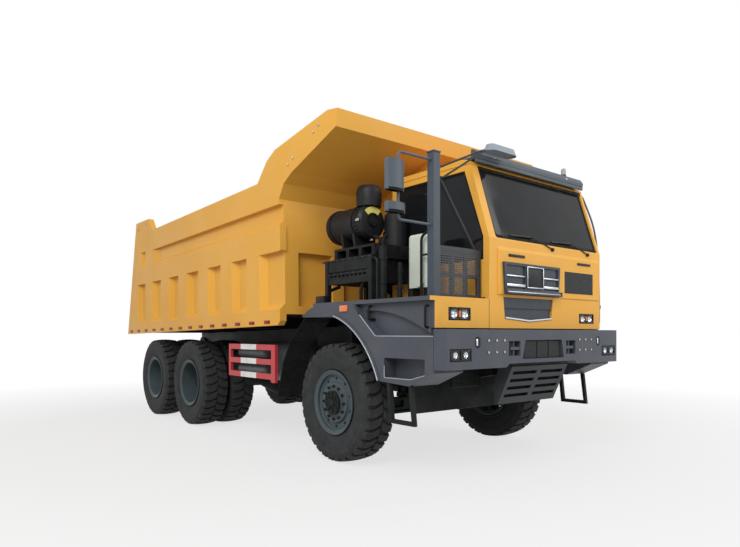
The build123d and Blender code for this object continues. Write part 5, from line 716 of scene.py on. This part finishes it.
class TRUCK_OT_wheel_fittings(bpy.types.Operator):
    """Makes the wheel nuts and the hub covers"""
    bl_idname = "truck.wheel_fittings"
    bl_label = "Wheel fittings"

    def execute(self, context):
        for node, body in wheel_nodes("rim"):
            low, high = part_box(node)
            side = 1 if body.endswith("left") else -1
            hub = FRONT_HUB if body.startswith("wheel_front") else TWIN_HUB
            circle, out, middle_y, face, reach = hub
            middle = Vector(((low.x + high.x) / 2, side * middle_y, (low.z + high.z) / 2))
            nut = bmesh.new()
            add_nut(nut, (circle, side * (out - 0.001), 0), (0, side, 0), 0.034, 0.026, 0.012)
            nuts = repeated(nut, NUTS, "cast_iron", middle, turn=(0, 2 * pi / NUTS, 0))
            finished(node + "_nuts", nuts, "cast_iron", body, smooth=30)
            # hub cover with radial ribs and its ring of small bolts
            cover, rib = bmesh.new(), bmesh.new()
            profile = (
                (face - 0.012, reach), (face + 0.014, reach),
                (face + 0.016, reach - 0.008), (face + 0.003, reach - 0.025),
                (face + 0.002, 0.05), (face + 0.020, 0.042), (face + 0.022, 0.0),
            )
            add_turned(cover, [(side * a, r) for a, r in profile], middle, LEFTWARD, 40)
            y0, y1 = sorted((side * (face - 0.002), side * (face + 0.014)))
            add_block(rib, (0.045, y0, -0.007), (reach - 0.010, y1, 0.007), 0.002)
            add_nut(rib, (0.1, side * (face + 0.002), 0.026), (0, side, 0), 0.014, 0.01)
            ribs = repeated(rib, 8, "chassis_paint", middle, turn=(0, pi / 4, 0))
            finished(node + "_cover", [cover, ribs], "chassis_paint", body, smooth=30)
        return {"FINISHED"}


# ---------------------------------------------------------------- lamps

# square lamp: face X, near Y, far Y, foot, head
SQUARE_LAMPS = (
    (PANEL_X, -1.430, -1.080, 1.750, 1.890),
    (PANEL_X, 1.050, 1.405, 1.740, 1.870),
    (NOSE_X, 1.280, 1.610, 1.320, 1.450),
    (NOSE_X, -1.610, -1.280, 1.320, 1.450),
)
OVAL_LAMP_Z = 1.515
OVAL_LAMP_Y = 1.185
OVAL_LAMP_R = 0.040


class TRUCK_OT_lamps(bpy.types.Operator):
    """Makes the head, marker, side and tail lamps"""
    bl_idname = "truck.lamps"
    bl_label = "Lamps"

    def execute(self, context):
        housing, bowl, lens, amber, red = (bmesh.new() for _ in range(5))
        for face, y0, y1, z0, z1 in SQUARE_LAMPS:
            y0, y1, z0, z1 = y0 + 0.006, y1 - 0.006, z0 + 0.006, z1 - 0.006
            add_block(housing, (face - 0.038, y0, z0), (face - 0.030, y1, z1))
            middle = (y0 + y1) / 2
            for near, far in ((y0, y0 + 0.013), (middle - 0.006, middle + 0.006), (y1 - 0.013, y1)):
                add_block(housing, (face - 0.036, near, z0), (face + 0.005, far, z1), 0.003)
            for foot, head in ((z0, z0 + 0.012), (z1 - 0.012, z1)):
                add_block(housing, (face - 0.036, y0, foot), (face + 0.005, y1, head), 0.003)
            radius = min((y1 - y0) / 4, (z1 - z0) / 2) - (0.024 if face > PANEL_X else 0.014)
            for near, far in ((y0, middle), (middle, y1)):
                centre = (face, (near + far) / 2, (z0 + z1) / 2)
                shape = [(-0.004, radius), (-0.010, radius * 0.96), (-0.024, radius * 0.7), (-0.029, 0.014)]
                add_turned(bowl, shape + [(-0.012, 0.011), (-0.010, 0.0)], centre, FORWARD, 24)
            if face < NOSE_X:
                near, far = middle - 0.011, middle + 0.011
                add_block(amber, (face - 0.034, near, z0 + 0.03), (face + 0.007, far, z1 - 0.03))
            add_block(lens, (face - 0.006, y0 + 0.012, z0 + 0.011), (face - 0.003, y1 - 0.012, z1 - 0.011))
        for side in (1, -1):
            # upright oval lamp on the bumper: black shell with a bright half
            y, z = side * OVAL_LAMP_Y, OVAL_LAMP_Z
            outline = []
            for i in range(24):
                angle = 2 * pi * i / 24
                rise = OVAL_LAMP_R * sin(angle) + (0.022 if sin(angle) > 0 else -0.022)
                outline.append((NOSE_X - 0.060, y + OVAL_LAMP_R * cos(angle), z + rise))
            add_prism(housing, outline, (0.063, 0, 0))
            low, high = (NOSE_X + 0.002, y - 0.026, z - 0.034), (NOSE_X + 0.006, y - 0.002, z + 0.034)
            add_block(bowl, low, high, 0.003)
            # side lamp on the fender
            y0, y1 = sorted((side * 1.698, side * 1.7145))
            add_block(amber, (2.866, y0, 1.876), (3.018, y1, 1.952), 0.005)
            # tail lamp on the hinge cheek
            y0, y1 = sorted((side * 0.541, side * 0.800))
            add_block(housing, (-3.940, y0, 1.095), (-3.880, y1, 1.215), 0.006)
            for near, far, target in ((0.560, 0.670, red), (0.685, 0.785, amber)):
                y0, y1 = sorted((side * near, side * far))
                add_block(target, (-3.949, y0, 1.110), (-3.938, y1, 1.200), 0.004)
        # small marker lamps on the visor
        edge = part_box("sun_visor")[1].x
        for y in (-0.404, 1.116):
            add_block(bowl, (edge - 0.018, y - 0.020, 3.682), (edge - 0.002, y + 0.020, 3.698), 0.004)
        finished("lamp_housings", housing, "black_abs", "chassis", smooth=30,
                 replaces=("headlamps",))
        finished("lamp_bowls", bowl, "lamp_mirror", "chassis", smooth=40)
        finished("lamp_covers", lens, "lamp_lens", "chassis")
        finished("amber_lamps", amber, "amber_acrylic", "chassis", smooth=30)
        finished("tail_lamps", red, "red_acrylic", "chassis", smooth=30)
        return {"FINISHED"}


# ---------------------------------------------------------------- front trim

HATCH_X = 4.4275  # the face of the lid on the cab's front


def add_frame(mesh, x0, x1, low, high, width, bevel=0.002):
    """A rectangular frame facing forward; low and high are its Y and Z corners."""
    (y0, z0), (y1, z1) = low, high
    add_block(mesh, (x0, y0, z0), (x1, y1, z0 + width), bevel)
    add_block(mesh, (x0, y0, z1 - width), (x1, y1, z1), bevel)
    add_block(mesh, (x0, y0, z0 + width), (x1, y0 + width, z1 - width), bevel)
    add_block(mesh, (x0, y1 - width, z0 + width), (x1, y1, z1 - width), bevel)


class TRUCK_OT_front_trim(bpy.types.Operator):
    """Makes the bright trim, the handles and the bolts of the front"""
    bl_idname = "truck.front_trim"
    bl_label = "Front trim"

    def execute(self, context):
        chrome, black, backing, panels = (bmesh.new() for _ in range(4))
        face = HATCH_X
        for y0, y1 in ((-0.505, -0.160), (0.210, 0.515)):
            add_block(chrome, (face + 0.0255, y0, 2.272), (face + 0.029, y1, 2.286), 0.001)
            add_block(chrome, (face + 0.0295, y0, 2.156), (face + 0.034, y1, 2.184), 0.002)
        # blank shield in its bright frame
        add_frame(chrome, face + 0.0415, face + 0.0455, (-0.138, 2.148), (0.188, 2.402), 0.009)
        add_block(black, (face + 0.0335, -0.122, 2.164), (face + 0.0365, 0.172, 2.386), 0.001)
        # bright edge on the lip and the chevron under the lower grille
        add_block(chrome, (face + 0.052, -0.515, 2.086), (face + 0.0595, 0.525, 2.094), 0.001)
        chevron = ((-0.487, 1.802), (-0.030, 1.770), (0.427, 1.802))
        chevron += ((0.427, 1.786), (-0.030, 1.752), (-0.487, 1.786))
        add_prism(chrome, [(PANEL_X + 0.006, y, z) for y, z in chevron], (0.003, 0, 0))
        # blank plate, release clip and two recessed pulls
        add_block(black, (face - 0.001, 0.698, 2.124), (face + 0.003, 1.357, 2.400))
        add_block(black, (face - 0.001, 0.588, 2.075), (face + 0.014, 0.634, 2.125), 0.004)
        for y0, y1 in ((-0.440, -0.140), (0.985, 1.290)):
            add_block(black, (face - 0.002, y0, 2.500), (face + 0.012, y1, 2.532), 0.006)
        # shut line between cab and deck panel
        add_block(black, (PANEL_X - 0.004, -0.7715, 1.672), (PANEL_X + 0.0012, -0.7665, 2.000))
        finished("bright_trim", chrome, "satin_chrome", "chassis", smooth=30)
        finished("front_blacks", black, "black_abs", "chassis", smooth=30)
        rows = [
            bolt_row((NOSE_X - 0.001, y, z), FORWARD, 0.026, 0.012, "zinc_plate", 3, (0, 0.134, 0))
            for y in (-1.012, 0.742) for z in (1.534, 1.406)
        ]
        finished("bumper_bolts", rows, "zinc_plate", "chassis", smooth=30)

        # dark plate behind the slatted guard, bulkhead ahead of the steered tyres, bolted shrouds
        outline = ((4.3075, 0.800), (4.5135, 1.225), (4.5015, 1.225), (4.2955, 0.800))
        add_prism(backing, [(x, -0.535, z) for x, z in outline], (0, 1.07, 0))
        add_block(backing, (3.66, -1.25, 0.67), (3.70, 1.25, 1.24), 0.01)
        for y0, y1 in ((-1.00, -0.56), (0.56, 1.00)):
            add_block(backing, (4.02, y0, 0.985), (4.08, y1, 1.240), 0.01)
            for y in (y0 + 0.06, y0 + 0.14):
                for z in (1.03, 1.09):
                    add_nut(backing, (4.08, y, z), FORWARD, 0.022, 0.01)
        finished("guard_backing", backing, "chassis_paint", "chassis")
        # three panels behind the bumper's middle opening
        for y0, y1 in ((-0.345, -0.120), (-0.108, 0.108), (0.120, 0.345)):
            add_block(panels, (4.574, y0, 1.338), (4.5815, y1, 1.520), 0.006)
        finished("centre_panels", panels, "black_abs", "chassis")
        return {"FINISHED"}


# ---------------------------------------------------------------- cab fittings

SCREEN_FOOT = Vector((PANEL_X, 0.0, 2.69))
SCREEN_UP = Vector((-0.283, 0.0, 0.89)).normalized()
SCREEN_OUT = Vector((0.89, 0.0, 0.283)).normalized()
SCREEN_Y = (-0.647, 1.514)
SCREEN_RISE = (0.012, 0.902)  # foot and head of the glass, measured up it
SIDE_WALL_Y = -0.768
# mirror glasses and shells, large and small: outward from, to, foot, head
GLASSES = ((1.996, 2.179, 3.046, 3.334), (1.981, 2.179, 2.826, 2.908))
SHELLS = ((1.982, 2.193, 3.034, 3.346), (1.967, 2.193, 2.816, 2.918))
# mirror node: its body, its side, the glass's X, how far it sits above the heights given
MIRRORS = {"mirrors": ("chassis", -1, 4.2735, 0.0), "door_mirror": ("cab_door", 1, 3.8255, -0.13)}


def on_screen(y, up, out=0.0):
    """A point on the windscreen: across, up the glass, and out from the cab's slanted face."""
    return SCREEN_FOOT + Vector((0, y, 0)) + SCREEN_UP * up + SCREEN_OUT * out


def rounded_outline(y0, y1, z0, z1, radius, steps=5):
    """Corners of a rounded rectangle, as pairs."""
    y0, y1, z0, z1 = y0 + radius, y1 - radius, z0 + radius, z1 - radius
    points = []
    for quarter, (y, z) in enumerate(((y1, z1), (y0, z1), (y0, z0), (y1, z0))):
        turns = [pi / 2 * (quarter + i / steps) for i in range(steps + 1)]
        points += [(y + radius * cos(turn), z + radius * sin(turn)) for turn in turns]
    return points


def add_band(mesh, outer, inner, place, depth):
    """A flat ring between two outlines of as many points, set by place and given depth."""
    rings = [
        [mesh.verts.new(place(a, b, out)) for a, b in outline]
        for outline, out in ((outer, 0.0), (outer, depth), (inner, depth), (inner, 0.0))
    ]
    join_rings(mesh, rings, closed=True)


class TRUCK_OT_cab_fittings(bpy.types.Operator):
    """Makes the screen's black border, the wipers, the grab rail, the seal and the mirrors' faces"""
    bl_idname = "truck.cab_fittings"
    bl_label = "Cab fittings"

    def execute(self, context):
        border, skirt, wipers, rail, seal = (bmesh.new() for _ in range(5))
        (y0, y1), (z0, z1) = SCREEN_Y, SCREEN_RISE
        outer = rounded_outline(y0 + 0.002, y1 - 0.002, z0 + 0.002, z1 - 0.002, 0.034)
        inner = rounded_outline(y0 + 0.042, y1 - 0.042, z0 + 0.055, z1 - 0.035, 0.030)
        add_band(border, outer, inner, lambda y, up, out: on_screen(y, up, out - 0.0235), 0.003)
        # head strip up to the roof's edge
        head = ((y0, z1 - 0.018), (y1, z1 - 0.018), (y1, 0.924), (y0, 0.924))
        add_prism(border, [on_screen(y, up, 0.0005) for y, up in head], SCREEN_OUT * 0.003)
        finished("screen_border", border, "moulded_rubber", "chassis")
        add_block(skirt, (4.160, -0.725, 3.600), (4.190, 1.512, 3.652), 0.006)
        finished("visor_skirt", skirt, "visor_abs", "chassis", smooth=30)

        # wiper: pivot Y, knee Y, tip Y
        boss = ((-0.002, 0.024), (0.022, 0.022), (0.028, 0.014), (0.028, 0.0))
        knee_up, tip_up = 0.085, 0.068
        for pivot, knee, tip in ((0.44, 0.045, -0.353), (1.24, 0.894, 0.474)):
            base = Vector((PANEL_X, pivot, 2.655))
            add_turned(wipers, boss, base, FORWARD, 16)
            add_tube(wipers, (base + Vector((0.018, 0, 0)), on_screen(knee, knee_up, 0.006)), 0.007)
            low, high = on_screen(tip, tip_up, -0.010), on_screen(knee + 0.04, knee_up, -0.010)
            add_tube(wipers, (low, (low + high) / 2 + SCREEN_OUT * 0.014, high), 0.006, 0.2)
            strip = [low, high, high + SCREEN_UP * 0.018, low + SCREEN_UP * 0.018]
            add_prism(wipers, strip, SCREEN_OUT * 0.008)
        finished("wipers", wipers, "black_abs", "chassis", smooth=40)

        # bent grab rail beside the left front pillar
        points = ((4.116, 1.555, 3.570), (4.150, 1.585, 3.500), (4.319, 1.585, 3.085), (4.373, 1.585, 2.678),
                  (4.393, 1.585, 2.120), (4.393, 1.585, 1.760), (4.393, 1.550, 1.720))
        add_tube(rail, points, 0.013, 0.25)
        finished("pillar_rail", rail, "dark_grey_enamel", "chassis", 40)

        # rubber round the side window
        corners = ((2.8505, 2.450), (4.3255, 2.450), (4.3255, 2.715), (4.0425, 3.505), (2.8505, 3.505))
        middle = Vector((3.56, 2.95))
        inside = [tuple(middle + (Vector(corner) - middle) * 0.955) for corner in corners]
        add_band(seal, corners, inside, lambda x, z, out: (x, SIDE_WALL_Y + 0.022 - out, z), 0.004)
        finished("side_seal", seal, "moulded_rubber", "chassis")

        for node, (body, side, x, lift) in MIRRORS.items():
            glass, shell, ends = (bmesh.new() for _ in range(3))
            for y0, y1, z0, z1 in GLASSES:
                near, far = sorted((side * y0, side * y1))
                add_block(glass, (x - 0.0012, near, z0 + lift), (x + 0.002, far, z1 + lift))
            # domed shells and rubber ends over the housings
            for y0, y1, z0, z1 in SHELLS:
                arc = [(y0 + (y1 - y0) * i / 10, 0.034 * sin(pi * i / 10) ** 0.6) for i in range(11)]
                line = [(x + 0.048 + out, side * y, z0 + lift + 0.022) for y, out in arc]
                add_prism(shell, line, (0, 0, z1 - z0 - 0.022))
                foot = z0 + lift - 0.004
                line = [(back - 0.004, across, foot) for back, across, _ in line]
                line += [(x + 0.004, side * y1, foot), (x + 0.004, side * y0, foot)]
                add_prism(ends, line, (0, 0, 0.024))
            finished(node + "_glass", glass, "mirror_glass", body)
            finished(node + "_shells", shell, "visor_abs", body, smooth=50)
            finished(node + "_ends", ends, "moulded_rubber", body)
        return {"FINISHED"}


# ---------------------------------------------------------------- deck fittings

# the air cleaner's drum
DRUM_AXIS = Vector((0.0, -1.200, 3.035))
DRUM_FACE = 2.8905
DRUM_R = 0.235
DRUM_SLOTS = 30


class TRUCK_OT_deck_fittings(bpy.types.Operator):
    """Makes the screens, the hoop rail, the hoses and the air cleaner's small parts"""
    bl_idname = "truck.deck_fittings"
    bl_label = "Deck fittings"

    def execute(self, context):
        screen, rail, dark, cover = (bmesh.new() for _ in range(4))
        # wire screen in the post's frame, and the rail on top
        for near, far, foot in ((-1.482, -1.045, 2.004), (-1.045, -0.860, 2.27), (-0.860, -0.798, 2.004)):
            add_block(screen, (4.313, near, foot), (4.315, far, 2.545))
        finished("deck_screen", screen, "wire_screen", "chassis")
        add_block(rail, (4.2725, -1.4825, 2.488), (4.3130, -0.798, 2.553), 0.004)
        finished("screen_rail", rail, "post_enamel", "chassis", smooth=30)

        # canister and yellow cover between the air cleaner and the cab, collar of the pre-cleaner
        can = ((0, 0.0), (0, 0.13), (0.02, 0.15), (0.62, 0.15), (0.66, 0.11), (0.66, 0.0))
        add_turned(dark, can, (3.02, -0.925, 2.50), UP, 32)
        add_block(dark, (2.80, -1.04, 2.545), (3.24, -0.80, 2.70), 0.015)
        add_block(dark, (2.31, -1.690, 1.990), (2.50, -1.615, 2.090), 0.012)
        collar = ((0, 0.0), (0, 0.160), (0.17, 0.167), (0.225, 0.160), (0.265, 0.13), (0.282, 0.0))
        add_turned(dark, collar, (2.7855, -1.18, 3.235), UP, 36)
        finished("deck_canisters", dark, "black_abs", "chassis", smooth=35)
        outline = ((2.99, 2.0), (3.40, 2.0), (3.40, 2.36), (3.34, 2.49), (2.99, 2.49))
        add_prism(cover, [(x, -0.895, z) for x, z in outline], (0, 0.115, 0))
        finished("yellow_cover", cover, "yellow_enamel", "chassis")

        # slots and clips round the air cleaner's cap, and the blank label on its face
        slot, label, clip, hoop, hoses = (bmesh.new() for _ in range(5))
        low, high = (DRUM_FACE - 0.130, -0.010, DRUM_R - 0.020), (DRUM_FACE - 0.060, 0.010, DRUM_R - 0.011)
        add_block(slot, low, high, 0.002)
        slots = repeated(slot, DRUM_SLOTS, "moulded_rubber", DRUM_AXIS, turn=(2 * pi / DRUM_SLOTS, 0, 0))
        finished("drum_slots", slots, "moulded_rubber", "chassis")
        turns = [radians(50 + 8.8 * i) for i in range(11)]
        arc = [(0.188, turn) for turn in turns] + [(0.112, turn) for turn in reversed(turns)]
        face = DRUM_AXIS + Vector((DRUM_FACE + 0.0055, 0, 0))
        add_prism(label, [face + Vector((0, r * cos(turn), r * sin(turn))) for r, turn in arc], (0.004, 0, 0))
        finished("drum_label", label, "yellow_label", "chassis")
        low, high = (DRUM_FACE - 0.060, -0.016, DRUM_R - 0.018), (DRUM_FACE - 0.005, 0.016, DRUM_R + 0.008)
        add_block(clip, low, high, 0.004)
        clips = repeated(clip, 4, "zinc_plate", DRUM_AXIS, turn=(pi / 2, 0, 0))
        finished("drum_clips", clips, "zinc_plate", "chassis", smooth=30)

        # black hoop rail beside the header tank
        x0, x1, y = 3.760, 4.050, -1.190
        add_tube(hoop, ((x0, y, 2.0), (x0, y, 2.760), (x1, y, 2.800), (x1, y, 2.0)), 0.016, 0.09)
        add_tube(hoop, ((x0, y, 2.52), (x1, y, 2.52)), 0.012)
        finished("hoop_rail", hoop, "chassis_paint", "chassis", smooth=40)

        # hoses between the stand and the deck
        runs = (
            ((3.10, -1.56, 2.02), (3.10, -1.56, 2.20), (3.24, -1.50, 2.32), (3.24, -1.30, 2.36)),
            ((3.22, -1.44, 2.00), (3.22, -1.44, 2.60), (3.30, -1.40, 2.74), (3.12, -1.36, 2.80)),
            ((2.30, -1.50, 2.00), (2.32, -1.50, 2.16), (2.46, -1.40, 2.22)),
            ((3.40, -1.47, 2.62), (3.40, -1.47, 2.74), (3.30, -1.30, 2.80), (3.12, -1.25, 2.78)),
        )
        for run in runs:
            add_tube(hoses, run, 0.022, 0.10)
        finished("deck_hoses", hoses, "moulded_rubber", "chassis", smooth=60)

        # bolts along the table's edge and on the rail below it
        rows = [
            bolt_row(place, (0, -1, 0), 0.014, 0.006, "rim_enamel", count, (0.13, 0, 0))
            for place, count in (((2.40, -1.6005, 2.525), 8), ((2.48, -1.5925, 2.36), 7))
        ]
        finished("stand_bolts", rows, "rim_enamel", "chassis", smooth=30)
        return {"FINISHED"}


# ---------------------------------------------------------------- fender and bed fittings

HINGE = Vector((-3.8745, 0.0, 1.420))


def on_bed(x, y, z):
    """A point given in the bed's own plane, x forward of the hinge pin and z up from it."""
    return HINGE + Vector((x * cos(RAKE) - z * sin(RAKE), y, x * sin(RAKE) + z * cos(RAKE)))


BED_HALF = 1.900
# in the bed's own plane: the first and last reflector and their height
REFLECTORS_START, REFLECTORS_END, REFLECTORS_RISE = -0.480, 5.310, 0.245
# edge of the fender's wheel arch, X and Z, and the front end of its low step
ARCH = ((3.5845, 1.077), (3.2700, 1.533), (2.7320, 1.825))
STEP_X1 = 4.3355


class BedSettings(bpy.types.PropertyGroup):
    reflectors: IntProperty(name="Reflectors", description="Reflectors along each side", default=14, min=2)
    reflector_length: FloatProperty(
        name="Reflector length", description="Length of one reflector", default=0.160, unit="LENGTH",
    )


class TRUCK_OT_body_fittings(bpy.types.Operator):
    """Makes the bed's reflectors and bolts and the pale strips along the fenders' edges, which are painted
    highlights
    """
    bl_idname = "truck.body_fittings"
    bl_label = "Body fittings"

    def execute(self, context):
        settings = context.scene.truck_bed
        step = (REFLECTORS_END - REFLECTORS_START) / (settings.reflectors - 1)
        shift = (step * cos(RAKE), 0, step * sin(RAKE))
        rows, bolts = [], []
        for side in (1, -1):
            tile = bmesh.new()
            place = on_bed(REFLECTORS_START, side * BED_HALF, REFLECTORS_RISE)
            y0, y1 = sorted((place.y - side * 0.001, place.y + side * 0.006))
            half = settings.reflector_length / 2
            low, high = (place.x - half, y0, place.z - 0.024), (place.x + half, y1, place.z + 0.024)
            add_block(tile, low, high, 0.003)
            rows.append(repeated(tile, settings.reflectors, "red_acrylic", shift=shift))
            for x, z in ((5.90, 2.30), (6.02, 2.36), (6.50, 2.56), (6.62, 2.62)):
                place = on_bed(x, side * (BED_HALF - 0.001), z)
                bolts.append(bolt_row(place, (0, side, 0), 0.03, 0.014, "zinc_plate"))
        finished("bed_reflectors", rows, "red_acrylic", "bed", smooth=30)
        finished("canopy_bolts", bolts, "zinc_plate", "bed", smooth=30)

        # pale strips along the fender's ledge, sill and arch lip: painted highlights where the rounded edges
        # catch the light
        edges = bmesh.new()
        for side in (1, -1):
            y = side * 1.6985
            line = ((3.2455, y, 1.828), (3.5355, y, 1.580), (4.4600, y, 1.580))
            add_tube(edges, line, 0.0065, 0.03, 8)
            sill = ((3.692, y, 1.250), (3.692, y, 1.117), (STEP_X1 - 0.22, y, 1.117), (STEP_X1, y, 1.172))
            add_tube(edges, sill, 0.0055, 0.02, 8)
            lip = arc_through(*ARCH, 16)
            add_tube(edges, [(x, side * 1.7070, z) for x, z in lip], 0.010, 0.01, 8)
        finished("edge_highlight_strips", edges, "painted_edge_highlight", "chassis", smooth=50)
        return {"FINISHED"}


# ---------------------------------------------------------------- stage

class StageSettings(bpy.types.PropertyGroup):
    camera: FloatVectorProperty(
        name="Camera", description="Where the camera stands", size=3, subtype="XYZ", unit="LENGTH",
        default=(8.7675, -6.05, 1.607),
    )
    turn: FloatProperty(
        name="Turn", description="The camera's turn about the upright axis", subtype="ANGLE",
        default=radians(50.756),
    )
    lens: FloatProperty(name="Lens", description="Focal length in millimetres", default=29.12)
    shift: FloatProperty(name="Shift", description="Upward shift of the lens", default=0.0814)
    floor: FloatVectorProperty(
        name="Floor", description="Colour of the floor", size=4, subtype="COLOR", default=linear("#BDBDBC"),
    )


SOFT_LIGHT = 0.5  # strength of the white world on the object
LAMPS = (("key_lamp", (9, -12, 11), 1550), ("fill_lamp", (13, 7, 8), 720))
LAMP_AIM = Vector((0, 0, 1.5))
LAMP_SIZE = 9.0


def lamp(name, place, power):
    """A square soft lamp aimed at the truck's middle."""
    light = bpy.data.lights.new(name, "AREA")
    light.shape = "SQUARE"
    light.size = LAMP_SIZE
    light.energy = power
    obj = bpy.data.objects.new(name, light)
    bpy.context.scene.collection.objects.link(obj)
    obj.location = place
    obj.rotation_euler = (LAMP_AIM - Vector(place)).to_track_quat("-Z", "Y").to_euler()


def seen_rays(tree):
    """1 for rays that show the background: to the camera, in a gloss or through glass."""
    path = add(tree, "ShaderNodeLightPath")
    rays = [path.outputs[name] for name in ("Is Camera Ray", "Is Glossy Ray", "Is Transmission Ray")]
    return sums(tree, "MAXIMUM", sums(tree, "MAXIMUM", rays[0], rays[1]), rays[2])


def mixed_out(tree, factor, shader, white, output):
    """Mixes white into a shader by factor, and gives the result to the output node."""
    mix = add(tree, "ShaderNodeMixShader", Fac=factor)
    for source, socket in ((shader, mix.inputs[1]), (white, mix.inputs[2])):
        tree.links.new(source.outputs[0], socket)
    tree.links.new(mix.outputs[0], tree.nodes[output].inputs["Surface"])


def studio_floor(colour):
    """Pale floor that keeps a soft shadow near the truck and runs out into the white beyond."""
    material = surface("studio_floor", {"Roughness": 0.9})
    tree = material.node_tree
    principled = tree.nodes["Principled BSDF"]
    principled.inputs["Base Color"].default_value = colour
    place = add(tree, "ShaderNodeTexCoord").outputs["Object"]
    distance = add(tree, "ShaderNodeVectorMath", {"operation": "LENGTH"}, Vector=place).outputs["Value"]
    far = ranged(tree, distance, 5.0, 12.0, 0.70, 1.0)
    white = add(tree, "ShaderNodeEmission", {"Color": (1, 1, 1, 1), "Strength": 1.0})
    mixed_out(tree, sums(tree, "MULTIPLY", far, seen_rays(tree)), principled, white, "Material Output")
    return material


class TRUCK_OT_stage(bpy.types.Operator):
    """Sets the floor, the lamps and the camera"""
    bl_idname = "truck.stage"
    bl_label = "Stage"

    def execute(self, context):
        scene = context.scene
        settings = scene.truck_stage
        data = bpy.data.cameras.new("camera")
        data.lens = settings.lens
        data.sensor_width = 36.0
        data.shift_y = settings.shift
        camera = bpy.data.objects.new("camera", data)
        scene.collection.objects.link(camera)
        camera.location = settings.camera
        camera.rotation_euler = (pi / 2, 0, settings.turn)
        scene.camera = camera

        bpy.ops.mesh.primitive_plane_add(size=160.0, location=(0, 0, 0))
        floor = context.object
        floor.name = "floor"
        floor.data.materials.append(studio_floor(settings.floor))

        world = bpy.data.worlds.new("studio")
        world.use_nodes = True
        tree = world.node_tree
        soft = tree.nodes["Background"]
        soft.inputs["Color"].default_value = (1, 1, 1, 1)
        soft.inputs["Strength"].default_value = SOFT_LIGHT
        white = add(tree, "ShaderNodeBackground", {"Color": (1, 1, 1, 1), "Strength": 1.0})
        mixed_out(tree, seen_rays(tree), soft, white, "World Output")
        scene.world = world
        for name, place, power in LAMPS:
            lamp(name, place, power)
        scene.view_settings.view_transform = "Standard"
        return {"FINISHED"}


class TRUCK_PT_panel(bpy.types.Panel):
    """Lists the steps that make the truck's pieces"""
    bl_idname = "TRUCK_PT_panel"
    bl_label = "Dump truck"
    bl_space_type = "VIEW_3D"
    bl_region_type = "UI"
    bl_category = "Dump truck"

    def draw(self, context):
        for step in STEPS:
            self.layout.operator(step.bl_idname)


STEPS = (
    TRUCK_OT_stage, TRUCK_OT_finishes, TRUCK_OT_tyres, TRUCK_OT_wheel_fittings, TRUCK_OT_lamps,
    TRUCK_OT_front_trim, TRUCK_OT_cab_fittings, TRUCK_OT_deck_fittings, TRUCK_OT_body_fittings,
)
SETTINGS = (
    ("truck_stage", StageSettings), ("truck_paint", PaintSettings),
    ("truck_tyres", TyreSettings), ("truck_bed", BedSettings),
)
CLASSES = (*[group for _, group in SETTINGS], *STEPS, TRUCK_PT_panel)


def register():
    """Registers the groups, operators and panel."""
    for item in CLASSES:
        bpy.utils.register_class(item)
    for name, group in SETTINGS:
        setattr(bpy.types.Scene, name, PointerProperty(type=group))


def unregister():
    """Undoes register."""
    for name, _ in SETTINGS:
        delattr(bpy.types.Scene, name)
    for item in reversed(CLASSES):
        bpy.utils.unregister_class(item)


def main():
    """Builds the truck's looks step by step."""
    register()
    for step in STEPS:
        group, _, call = step.bl_idname.partition(".")
        getattr(getattr(bpy.ops, group), call)()


if __name__ == "__main__":
    main()
